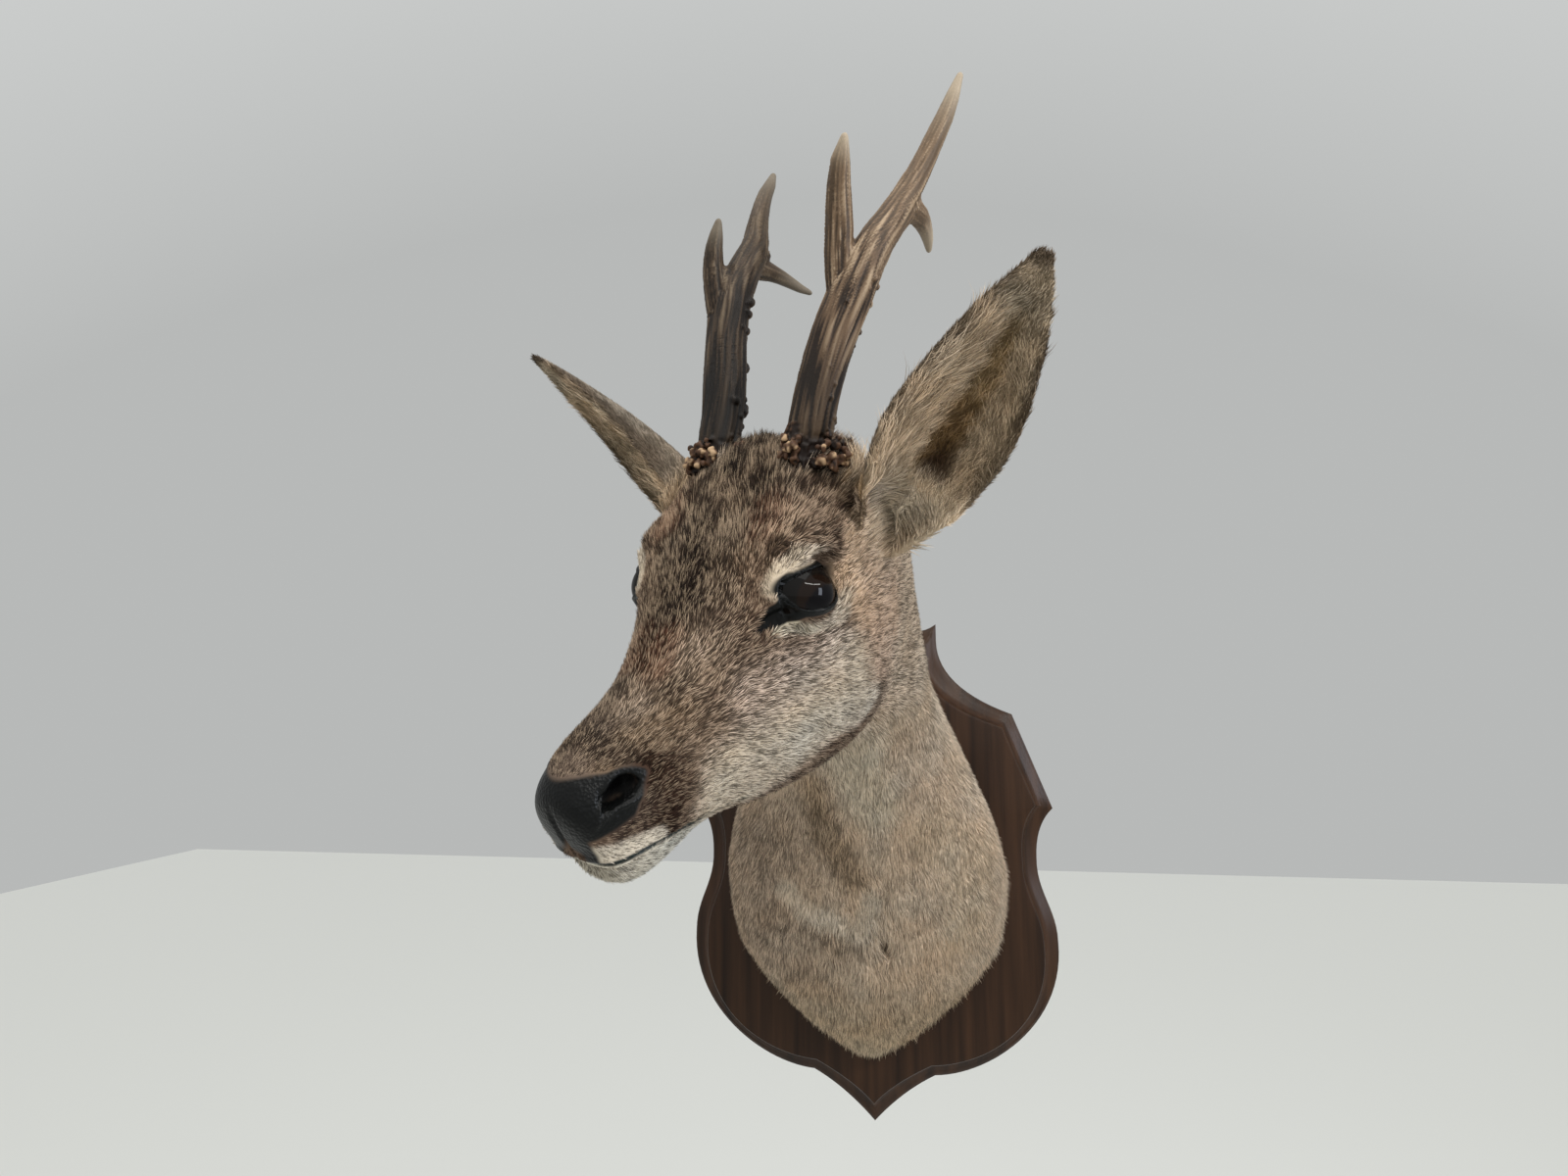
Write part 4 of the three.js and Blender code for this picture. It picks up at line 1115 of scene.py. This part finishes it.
def grow_locks(name, which, length, width, lift, material):
    """One piece of long soft hair: a bent spike of three steps for each chosen root."""
    at, normal, direction = roots[which], root_normals[which], lie[which]
    count = len(which)
    length = length * (0.7 + 0.6 * chance.random(count))
    curl = (soft_noise(at, 9.0) - 0.5) * 1.3 + chance.normal(0, 0.22, count)
    sideways = np.cross(direction, normal)
    lift = lift * (0.6 + 0.8 * chance.random(count))
    streak = 0.5 + 1.0 * soft_noise(at + 50, 3.2) + np.where(chance.random(count) < 0.3, 0.45, -0.1)
    tips = hold_hue(tip_colours[which] * streak[:, None])
    rings, shades = [], []
    for step in (*LOCK_STEPS, 1.0):
        along = direction * (step - 0.12 * step**2) + sideways * (curl * step**2)[:, None]
        along += normal * (lift * (step - 0.7 * step**2))[:, None]
        middle = at - normal * 0.3 + along * length[:, None]
        half = sideways * (width / 2 * (1 - step) ** 0.8)
        shade = root_colours[which] + (tips - root_colours[which]) * min(1.0, 0.15 + 1.1 * step)
        if step == 1.0:
            rings.append(middle[:, None])
            shades.append(shade[:, None])
        else:
            rings.append(np.stack([middle - half, middle + half, middle + normal * 0.4 * width], axis=1))
            shades.append(np.stack([shade] * 3, axis=1))
    shape, shades = np.concatenate(rings, axis=1), np.concatenate(shades, axis=1)
    return coat_piece(name, which, shape, LOCK_FACES, shades, LOCK_UV, material)


root_heads = in_head(roots)
on_left = root_heads[:, 1] > 0
on_body = on_neck > 0.5
left_ear = (ear_share(roots, EARS["left"]) > 0.4) & ~on_body
right_ear = (ear_share(roots, EARS["right"]) > 0.4) & ~on_body
face = ~on_body & ~left_ear & ~right_ear
chin_here = (over_mouth(root_heads) < -1) & (root_heads[:, 0] > 58) & face
upper = (root_heads[:, 2] > 14) & face & ~chin_here
snout = (root_heads[:, 0] > 50) & face & ~upper & ~chin_here
cheek = face & ~upper & ~snout & ~chin_here
chest = on_body & (roots[:, 2] < 10)
neck = on_body & ~chest
regions = {
    "forehead_left": (upper & on_left, winter_hair, "coat"),
    "forehead_right": (upper & ~on_left, winter_hair, "coat"),
    "muzzle_left": (snout & on_left, winter_hair, "coat"),
    "muzzle_right": (snout & ~on_left, winter_hair, "coat"),
    "chin": (chin_here, winter_hair, "pale_coat"),
    "cheek_left": (cheek & on_left, winter_hair, "coat"),
    "cheek_right": (cheek & ~on_left, winter_hair, "coat"),
    "neck_left": (neck & (roots[:, 0] > -10), winter_hair, "coat"),
    "neck_right": (neck & (roots[:, 0] <= -10), winter_hair, "coat"),
    "chest_left": (chest & (roots[:, 0] > 0), winter_hair, "coat"),
    "chest_right": (chest & (roots[:, 0] <= 0), winter_hair, "coat"),
    "ear_left": (left_ear, ear_hair, "ear_coat"),
    "ear_right": (right_ear, ear_hair, "ear_coat"),
}
coat_pieces = []
for name, (chosen_here, material, slot) in regions.items():
    which = np.flatnonzero(chosen_here)
    if len(which) > COAT_LIMIT:
        print("too many tufts on", name, len(which))
        which = np.sort(chance.choice(which, COAT_LIMIT, replace=False))
    coat_pieces.append(grow_spikes("coat_" + name, which, material))
    print(name, len(which))

# %% Long hair inside the ears
for name, in_this_ear in (("left", left_ear), ("right", right_ear)):
    found = on_ear(roots, EARS[name])
    facing_in = facing_inward(root_normals, found, EARS[name])
    hollow = ear_hollow(found) < 0.75
    inside = in_this_ear & (facing_in > 0.25) & ~hollow & (found["share"] > 0.1)
    which = np.flatnonzero(inside & (chance.random(len(roots)) < 0.5))
    cream = ramp(-found["across"][which], 0.05, 0.5) * ramp(found["share"][which], 0.95, 0.7)
    long = (8 + 9 * cream) * (1 - 0.72 * ramp(found["share"][which], 0.66, 0.95))
    coat_pieces.append(grow_locks(f"ear_hair_{name}", which, long, 0.42, 0.5, ear_hair))
    print("long hairs in ear", name, len(which))

# %% [markdown]
# ## The eyes
# A glass eye is painted on its back: a dark brown iris and a long level pupil, almost black against it.
# The clear glass in front gives one sharp, bright reflection of each lamp. That wet gleam does more than
# anything else to make the head look alive.

# %% Make the eyes
glass, tree, shader = new_material("painted_glass_eye")
tint = add(tree, "ShaderNodeVertexColor", layer_name="eye_colour")
tree.links.new(tint.outputs["Color"], shader.inputs["Base Color"])
shader.inputs["Roughness"].default_value = 0.4
shader.inputs["Specular IOR Level"].default_value = 0.0
shader.inputs["Coat Weight"].default_value = 0.4
shader.inputs["Coat Roughness"].default_value = 0.012
shader.inputs["Coat IOR"].default_value = 1.36


def make_eye(name, side):
    """A ball with a raised cornea, looking out and a little forward, painted by the angle of its gaze."""
    bpy.ops.mesh.primitive_uv_sphere_add(segments=72, ring_count=40, radius=EYE["radius"] * MM)
    eye = bpy.context.active_object
    eye.name = name
    middle = from_head((EYE["forward"], side * EYE["side"], EYE["up"]))
    gaze = to_body(unit(np.array([0.3, side * 0.95, 0.1])))
    turned = Vector(gaze).to_track_quat("Z", "Y").to_matrix().to_4x4()
    eye.matrix_world = Matrix.Translation(Vector(middle) * MM) @ turned
    bpy.ops.object.transform_apply(location=True, rotation=True, scale=True)
    points = read_points(eye.data)
    away = unit(points - middle)
    off_axis = np.degrees(np.arccos(np.clip(away @ gaze, -1, 1)))
    points += away * (0.5 * (1 - ramp(off_axis, 12, 44)))[:, None]
    write_points(eye.data, points)
    level = unit(np.cross(to_body((0, 0, 1)), gaze))
    wide, high = (points - middle) @ level, (points - middle) @ unit(np.cross(gaze, level))
    pupil = 1 - ramp(np.hypot(wide / 7.4, high / 4.6), 0.92, 1.06)
    iris = 1 - ramp(off_axis, 40, 46)
    colours = plain("#0b0908", points)
    colours = mix(colours, "#140c08", iris)
    colours = mix(colours, "#241410", iris * ramp(-high, 2, 9) * 0.7)
    colours = mix(colours, "#050406", pupil)
    paint(eye.data, "eye_colour", colours)
    eye.data.shade_smooth()
    eye.data.materials.append(glass)
    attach(eye, "root")
    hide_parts(name.replace("glass_", ""))
    return eye


eyes = [make_eye("glass_eye_left", 1), make_eye("glass_eye_right", -1)]
print("eyes:", [len(eye.data.polygons) for eye in eyes])

# %% [markdown]
# ## The antlers
# A roe buck's antler is bone that was fed by vessels in its velvet. They leave long grooves up the beam
# and pearls on its inner side, with a ring of coarse beads, the coronet, at its foot. The grooves hold
# dark stain while the ridges and the tips are rubbed pale. Grooves, pearls and beads are pushed into the
# joined mesh along the same centre lines that the nodes follow, and the colours go by their height.

# %% The centre lines
ANTLERS = {  # rows of forward, side, up and radius in the head's frame
    "left": {
        "side": 1,
        "stain": 1.0,
        "main": (
            (-46, 24, 34, 10.2), (-57, 25.5, 46, 10), (-70.5, 27.5, 59, 9.8), (-88.5, 32, 75, 10.2),
            (-105.5, 38.5, 89, 9.6), (-119.5, 43, 98.5, 8.1), (-135, 47, 104.5, 6.9),
            (-151, 50, 110.5, 5.7), (-163, 53.5, 117, 4.8), (-174, 58, 125.5, 4.2),
            (-183.5, 62.5, 133.5, 3.5), (-191.5, 65.7, 141, 2.2), (-195, 67.2, 144.5, 1.1),
        ),
        "front": (
            (-99.5, 33.5, 88.5, 5.5), (-107, 34, 101.5, 5.9), (-113, 35.7, 113.5, 5.8),
            (-116.5, 37.3, 123.5, 5.1), (-120, 39.3, 133, 4.2), (-122.5, 42, 140, 3),
            (-124, 43.6, 143.6, 1.2),
        ),
        "rear": (
            (-148.5, 49.5, 105.5, 5.6), (-159, 48.7, 99, 4.3), (-166.5, 46.7, 90.5, 3),
            (-171, 44.4, 83.5, 2), (-173, 42.6, 79, 1),
        ),
    },
    "right": {
        "side": -1,
        # Painted shade: the right antler is painted darker than the left because it lies in shade.
        "stain": 0.4,
        "main": (
            (-48, 26.5, 36, 10.2), (-60, 28, 46.5, 10), (-77.5, 28.8, 62, 9.6), (-97.5, 32, 81, 8.8),
            (-114, 32.6, 95, 8.6), (-127.5, 32.7, 101.5, 7.8), (-143.5, 34.5, 106.5, 6.9),
            (-161.5, 40, 115, 4.8), (-179.5, 43.7, 123.5, 3.6), (-192, 45.2, 127.7, 2.4),
            (-198, 46.7, 129.8, 1.2),
        ),
        "front": (
            (-103.5, 37.7, 91, 5.7), (-112, 39.7, 104.5, 5.4), (-119, 39.4, 115.5, 4),
            (-123.5, 37.6, 122, 2.8), (-126.5, 35.9, 126.7, 1.2),
        ),
        "rear": (
            (-147, 41.7, 98, 5.8), (-156.7, 41, 91.5, 4.4), (-165, 39, 84, 3.2),
            (-171.5, 36.3, 76, 2.1), (-176.5, 33.6, 70.5, 1),
        ),
    },
}


def smooth_line(rows):
    """A finer centre line: a curve through the rows, so nothing on it shows a joint."""
    rows = np.array(rows, float)
    before = np.vstack([2 * rows[0] - rows[1], rows[:-2]])
    after = np.vstack([rows[2:], 2 * rows[-1] - rows[-2]])
    fine = []
    for a, b, c, d in zip(before, rows[:-1], rows[1:], after):
        for t in np.arange(0, 1, 0.05):
            curve = 2 * b + (c - a) * t + (2 * a - 5 * b + 4 * c - d) * t**2 + (3 * b - a - 3 * c + d) * t**3
            fine.append(curve / 2)
    return np.array([*fine, rows[-1]])


def on_antler(points, antler):
    """For each point: outward direction, length along its line, radius there and the mirrored place."""
    mirrored = in_head(points) * (1, antler["side"], 1)
    best = np.full(len(points), 1e9)
    outward = np.zeros((len(points), 3))
    travelled, thickness = np.zeros(len(points)), np.ones(len(points))
    main = smooth_line(antler["main"])[:, :3]
    reached = np.concatenate([[0], np.cumsum(np.linalg.norm(np.diff(main, axis=0), axis=1))])
    for branch in ("main", "front", "rear"):
        rows = smooth_line(antler[branch])
        done = reached[np.argmin(np.linalg.norm(main - rows[0, :3], axis=1))]
        for first, second in zip(rows, rows[1:]):
            line = second[:3] - first[:3]
            long = np.linalg.norm(line)
            share = np.clip((mirrored - first[:3]) @ line / long**2, 0, 1)
            radius = first[3] + (second[3] - first[3]) * share
            away = mirrored - first[:3] - share[:, None] * line
            distance = np.linalg.norm(away, axis=1) - radius
            nearer = distance < best
            best = np.where(nearer, distance, best)
            outward[nearer] = away[nearer]
            travelled = np.where(nearer, done + share * long, travelled)
            thickness = np.where(nearer, radius, thickness)
            done += long
    return unit(outward), travelled, thickness, mirrored


# %% Beads and pearls
CORONET_FOOT, CORONET_UP = (-52.0, 27.0, 36.0), unit(np.array((-0.64, 0.13, 0.75)))
CORONET_ROWS = (  # height, distance from the middle, count and size of the beads
    (-3, 12.6, 26, 2.6), (-2, 14.8, 26, 1.9), (1, 15.0, 27, 1.9), (4, 14.0, 25, 2.0), (7, 12.4, 20, 1.7),
)
# The directions in which no beads stand, because the beam runs straight into the crown there.
CORONET_GAP = {"left": (0.62, 0.3, 0.5), "right": (0.5, -0.75, 0.4)}
PEARLY_SIDE = {"left": (-0.55, 0.8, -0.15), "right": (-0.55, -0.8, -0.15)}


def bead_places(name, antler):
    """Places and sizes of the coronet's beads and of the pearls up the beam, in the object's frame."""
    chance = np.random.default_rng(3 if name == "left" else 4)
    one = unit(np.cross(CORONET_UP, (0, 1, 0)))
    other = np.cross(CORONET_UP, one)
    places, sizes = [], []
    gap = unit(np.array(CORONET_GAP[name]))
    for height, reach, count, size in CORONET_ROWS:
        for step in range(count):
            angle = 2 * math.pi * (step + chance.uniform(-0.42, 0.42) + 0.5 * (height > 0)) / count
            ring = one * math.cos(angle) + other * math.sin(angle)
            if ring @ gap > 0.95:
                continue
            level = height + chance.uniform(-1.6, 2.2)
            places.append(CORONET_FOOT + CORONET_UP * level + ring * (reach + chance.uniform(-1.8, 1.6)))
            sizes.append(size * chance.uniform(0.65, 1.25))
    rows = smooth_line(antler["main"])
    for _ in range(40):
        low = int(chance.uniform(12, 84 if name == "left" else 76))
        spot = rows[low]
        line = unit(rows[low + 1, :3] - rows[low, :3])
        toward = unit(np.array(PEARLY_SIDE[name]) + chance.normal(0, 0.45, 3))
        toward = unit(toward - line * (toward @ line))
        places.append(spot[:3] + toward * spot[3] * 0.96 + line * chance.uniform(0, 2))
        sizes.append(0.7 + (1.3 if name == "left" else 2.3) * chance.uniform() ** 2)
    return from_head(np.array(places) * (1, antler["side"], 1)), sizes


def fork_fillers(antler):
    """Balls that lead each tine down into the beam, as bone does, and fill the fork above."""
    main = smooth_line(antler["main"])
    places, sizes = [], []
    for branch, run in (("front", 50), ("rear", 25)):
        tine = smooth_line(antler[branch])
        nearest = np.argmin(np.linalg.norm(main[:, :3] - tine[0, :3], axis=1))
        low = main[max(0, nearest - run)]
        for share in np.linspace(0, 1, 24):
            places.append(tine[0, :3] + (low[:3] - tine[0, :3]) * share)
            sizes.append(tine[0, 3] + (low[3] - tine[0, 3]) * share - 0.5 * share)
        for row in main[:20]:
            places.append(row[:3])
            sizes.append(row[3] - 0.4)
        for row in tine[:25]:
            near = main[np.argmin(np.linalg.norm(main[:, :3] - row[:3], axis=1))]
            places.append((near[:3] + row[:3]) / 2)
            sizes.append((near[3] + row[3]) / 2 - 1.2)
    return from_head(np.array(places) * (1, antler["side"], 1)), sizes


def join_balls(piece, places, sizes):
    """Adds small balls to a piece's mesh, to be fused with it by the remesh."""
    shape = bmesh.new()
    shape.from_mesh(piece.data)
    for place, size in zip(places, sizes):
        where = Matrix.Translation(Vector(place) * MM)
        bmesh.ops.create_icosphere(shape, subdivisions=2, radius=size * MM, matrix=where)
    shape.to_mesh(piece.data)
    shape.free()


# %% Antler bone
def bone_material():
    made, tree, shader = new_material("antler_bone")
    tint = add(tree, "ShaderNodeVertexColor", layer_name="bone_colour")
    place = add(tree, "ShaderNodeTexCoord")
    grain = add(tree, "ShaderNodeTexNoise", {"Scale": 1500.0, "Detail": 4.0})  # pits of 0.7 mm
    tree.links.new(place.outputs["Object"], grain.inputs["Vector"])
    bump = add(tree, "ShaderNodeBump", {"Strength": 0.35, "Distance": 0.0003, "Height": grain.outputs["Fac"]})
    tree.links.new(tint.outputs["Color"], shader.inputs["Base Color"])
    tree.links.new(bump.outputs["Normal"], shader.inputs["Normal"])
    shader.inputs["Roughness"].default_value = 0.48
    shader.inputs["Specular IOR Level"].default_value = 0.18
    return made


bone = bone_material()
ANTLER_NODES = ("coronet", "beam", "upper_beam", "top_tine", "front_tine", "rear_tine")


def make_antler(name, antler):
    nodes = [f"antler_{name}_{part}" for part in ANTLER_NODES]
    piece = joined_copies(f"grooved_antler_{name}", nodes[1:], 0.6)
    piece.name = f"grooved_antler_{name}"
    join_balls(piece, *fork_fillers(antler))
    piece.data.remesh_voxel_size = 0.75 * MM
    only(piece)
    bpy.ops.object.voxel_remesh()
    apply_modifier(piece, "SMOOTH", factor=0.5, iterations=12)
    join_balls(piece, *bead_places(name, antler))
    piece.data.remesh_voxel_size = 0.6 * MM
    bpy.ops.object.voxel_remesh()
    apply_modifier(piece, "SMOOTH", factor=0.5, iterations=2)
    points, normals = read_points(piece.data), read_normals(piece.data)
    outward, travelled, radius, mirrored = on_antler(points, antler)
    around = outward * np.array([1, 1, 0.3])
    stretched = around * 6.0 + np.outer(travelled / 26, (0, 0.2, 1))
    groove = soft_noise(stretched + 40, 0.72) * 0.55 + soft_noise(stretched * (1, 1, 0.6) + 70, 0.34) * 0.45
    thick = ramp(radius, 2.2, 6)
    above_foot = (mirrored - CORONET_FOOT) @ CORONET_UP
    off_axis = np.linalg.norm(np.cross(mirrored - CORONET_FOOT, CORONET_UP), axis=1)
    foot = np.maximum(1 - ramp(above_foot, 5, 9), ramp(off_axis, 11.5, 13)) * (1 - ramp(above_foot, 11, 13))
    knob = soft_noise(points + 30, 1.5)
    push = (groove - 0.5) * 1.4 * thick * (1 - foot) + (knob - 0.5) * 1.8 * foot
    write_points(piece.data, points + normals * push[:, None])
    raised = off_axis + (knob - 0.5) * 6
    colours = plain("#211710", points)
    colours = mix(colours, "#5e4a38", ramp(groove, 0.36, 0.6))
    colours = mix(colours, "#a48f76", ramp(groove, 0.55, 0.8) * (0.3 + 0.6 * ramp(travelled, 25, 110)))
    colours = mix(colours, "#7c664f", ramp(travelled, 70, 150) * 0.4)
    colours = mix(colours, "#a89a86", (1 - ramp(radius, 2.2, 4.6)) * 0.7)
    # The stain value darkens a whole antler, and on the right one it is painted shade. Both also darken
    # towards the foot.
    colours *= (antler["stain"] * (0.45 + 0.55 * ramp(travelled, 20, 75)))[:, None]
    beads = plain("#1a100b", points)
    beads = mix(beads, "#4a3324", ramp(raised, 13.2, 15.4))
    beads = mix(beads, "#a68a6c", ramp(raised, 16.2, 17.8) * ramp(soft_noise(points + 5, 2.4), 0.42, 0.56))
    colours = colours + (beads - colours) * foot[:, None]
    paint(piece.data, "bone_colour", colours)
    piece.data.shade_smooth()
    piece.data.materials.append(bone)
    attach(piece, "root")
    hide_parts(*nodes)
    return piece


antlers = [make_antler(name, antler) for name, antler in ANTLERS.items()]
print("antlers:", [len(piece.data.polygons) for piece in antlers], "faces")

# %% [markdown]
# ## The shield board
# The board is a turned and moulded shield of stained wood: a flat middle, a hollow round it and a small
# step at the edge. Its grain runs upright. The varnish is satin, so a soft light slides over the hollow.

# %% The board's outline and moulding
BOARD = {"half_width": 125.0, "height": 340.0, "tip": -174.0, "thickness": 20.0, "moulding": 13.0}


def bezier(keys, count, skip_first=True):
    """Points on a curve of two, three or four keys."""
    keys = np.array(keys, float)
    shares = np.linspace(0, 1, count + 1)[1 if skip_first else 0 :, None]
    order = len(keys) - 1
    blends = [math.comb(order, k) * (1 - shares) ** (order - k) * shares**k for k in range(order + 1)]
    return sum(blend * key for blend, key in zip(blends, keys))


def shield_outline(inset):
    """The shield's outline, moved in by a distance along each key's own mitre."""
    wide, bottom = BOARD["half_width"], BOARD["tip"]
    top = bottom + BOARD["height"]

    def key(x, z, mitre_x, mitre_z):
        return x - inset * mitre_x, z - inset * mitre_z

    tip, join = key(0, bottom, 0, -1.45), key(41, bottom + 31, 0.25, -1)
    belly, waist = key(wide, -54, 1, 0), key(wide - 12, 1, 1, 0)
    corner, shoulder = key(wide, 34, 1.19, -0.29), key(wide - 25, 98, 0.77, 0.78)
    riser, horn = key(49, 150, 1, 1.3), key(49, top - 4, 1, 1.9)
    crown = key(0, top, 0, 1)
    half = [
        bezier((tip, key(19, bottom + 20, 0.7, -0.8), join), 10, False),
        bezier((join, key(76, bottom + 33, 0.2, -1), key(wide + 3, -108, 1, -0.3), belly), 26),
        bezier((belly, key(wide, -32, 1, 0), key(wide - 13, -22, 1, 0), waist), 12),
        bezier((waist, key(wide - 12, 23, 1.1, -0.3), corner), 9),
        bezier((corner, shoulder), 6),
        bezier((shoulder, key(49, 117, 1, 0.9), riser), 14),
        bezier((riser, horn), 3),
        bezier((horn, key(34, top - 15, 0.3, 1), key(20, top - 5, 0.3, 1), crown), 12),
    ]
    right = np.concatenate(half)
    left = right[-2:0:-1] * (-1, 1)
    return np.concatenate([right, left])


deep, width = BOARD["thickness"], BOARD["moulding"]
edge_rows = [(0.6, 0), (0.1, 0.5), (0, 1.2), (0, 0.3 * deep), (0.3, 0.335 * deep), (0.1 * width, 0.36 * deep)]
edge_rows += [(0.16 * width, 0.4 * deep), (0.3 * width, 0.42 * deep)]
hollow_keys = ((0.34 * width, 0.44 * deep), (0.78 * width, 0.5 * deep), (0.8 * width, 0.8 * deep))
edge_rows += [tuple(row) for row in bezier((*hollow_keys, (0.86 * width, 0.95 * deep)), 7, False)]
edge_rows += [(0.9 * width, 0.985 * deep), (width, deep)]
rings = []
for inset, level in edge_rows:
    flat = shield_outline(inset)
    rings.append(np.stack([flat[:, 0], np.full(len(flat), -float(level)), flat[:, 1]], axis=1))
MIDDLE = (0, 0, -10)  # the back closes here, and the front straight before it
for shrink in (0.8, 0.5, 0.2):
    rings.append((rings[len(edge_rows) - 1] - MIDDLE) * (shrink, 1, shrink) + MIDDLE)
around = len(rings[0])
board_points = np.concatenate([*rings, [MIDDLE], [(0, -deep, MIDDLE[2])]])
faces = []
for row in range(len(rings) - 1):
    for step in range(around):
        a, b = row * around + step, row * around + (step + 1) % around
        faces += [(a, b, b + around), (a, b + around, a + around)]
last = (len(rings) - 1) * around
faces += [(step + 1 if step + 1 < around else 0, step, len(board_points) - 2) for step in range(around)]
faces += [(last + step, last + (step + 1) % around, len(board_points) - 1) for step in range(around)]
board = mesh_piece("moulded_shield", board_points, np.array(faces))

# %% Stained wood
wood, tree, shader = new_material("stained_satin_wood")
place = add(tree, "ShaderNodeTexCoord")
# Scales are counts to a metre, across and upright: figure 7 mm wide and 140 mm long, bands of 33 mm, and
# pores of 0.7 mm, which is coarser than real ones, so that they show.
GRAIN, BANDS, PORES = (150.0, 150.0, 7.0), (30.0, 30.0, 2.0), (1500.0, 1500.0, 45.0)
grain_map = add(tree, "ShaderNodeMapping", {"Vector": place.outputs["Object"], "Scale": GRAIN})
grain = add(tree, "ShaderNodeTexNoise", {"Vector": grain_map.outputs["Vector"], "Scale": 1.0, "Detail": 6.0})
band_map = add(tree, "ShaderNodeMapping", {"Vector": place.outputs["Object"], "Scale": BANDS})
bands = add(tree, "ShaderNodeTexNoise", {"Vector": band_map.outputs["Vector"], "Scale": 1.0, "Detail": 3.0})
pore_map = add(tree, "ShaderNodeMapping", {"Vector": place.outputs["Object"], "Scale": PORES})
pores = add(tree, "ShaderNodeTexNoise", {"Vector": pore_map.outputs["Vector"], "Scale": 1.0, "Detail": 2.0})
streaks = add(tree, "ShaderNodeMix", {"Factor": 0.35})
tree.links.new(grain.outputs["Fac"], streaks.inputs["A"])
tree.links.new(bands.outputs["Fac"], streaks.inputs["B"])
stain = add(tree, "ShaderNodeValToRGB", {"Fac": streaks.outputs["Result"]})
for end, (position, tint) in zip(stain.color_ramp.elements, ((0.32, "#120a06"), (0.7, "#3a2618"))):
    end.position, end.color = position, colour(tint)
bump = add(tree, "ShaderNodeBump", {"Strength": 0.25, "Distance": 0.0003, "Height": pores.outputs["Fac"]})
tree.links.new(stain.outputs["Color"], shader.inputs["Base Color"])
tree.links.new(bump.outputs["Normal"], shader.inputs["Normal"])
shader.inputs["Roughness"].default_value = 0.36
shader.inputs["Specular IOR Level"].default_value = 0.14
board.data.materials.append(wood)
only(board)
bpy.ops.object.shade_smooth_by_angle(angle=math.radians(35))
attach(board, "root")
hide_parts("board")
print("board:", len(board.data.polygons), "triangles")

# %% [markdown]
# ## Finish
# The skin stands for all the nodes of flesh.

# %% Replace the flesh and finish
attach(skin, "root")
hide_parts(*FLESH)
bpy.context.view_layer.update()
total = sum(len(piece.data.polygons) for piece in (skin, *coat_pieces, *eyes, *antlers, board))
print("object:", total, "faces")
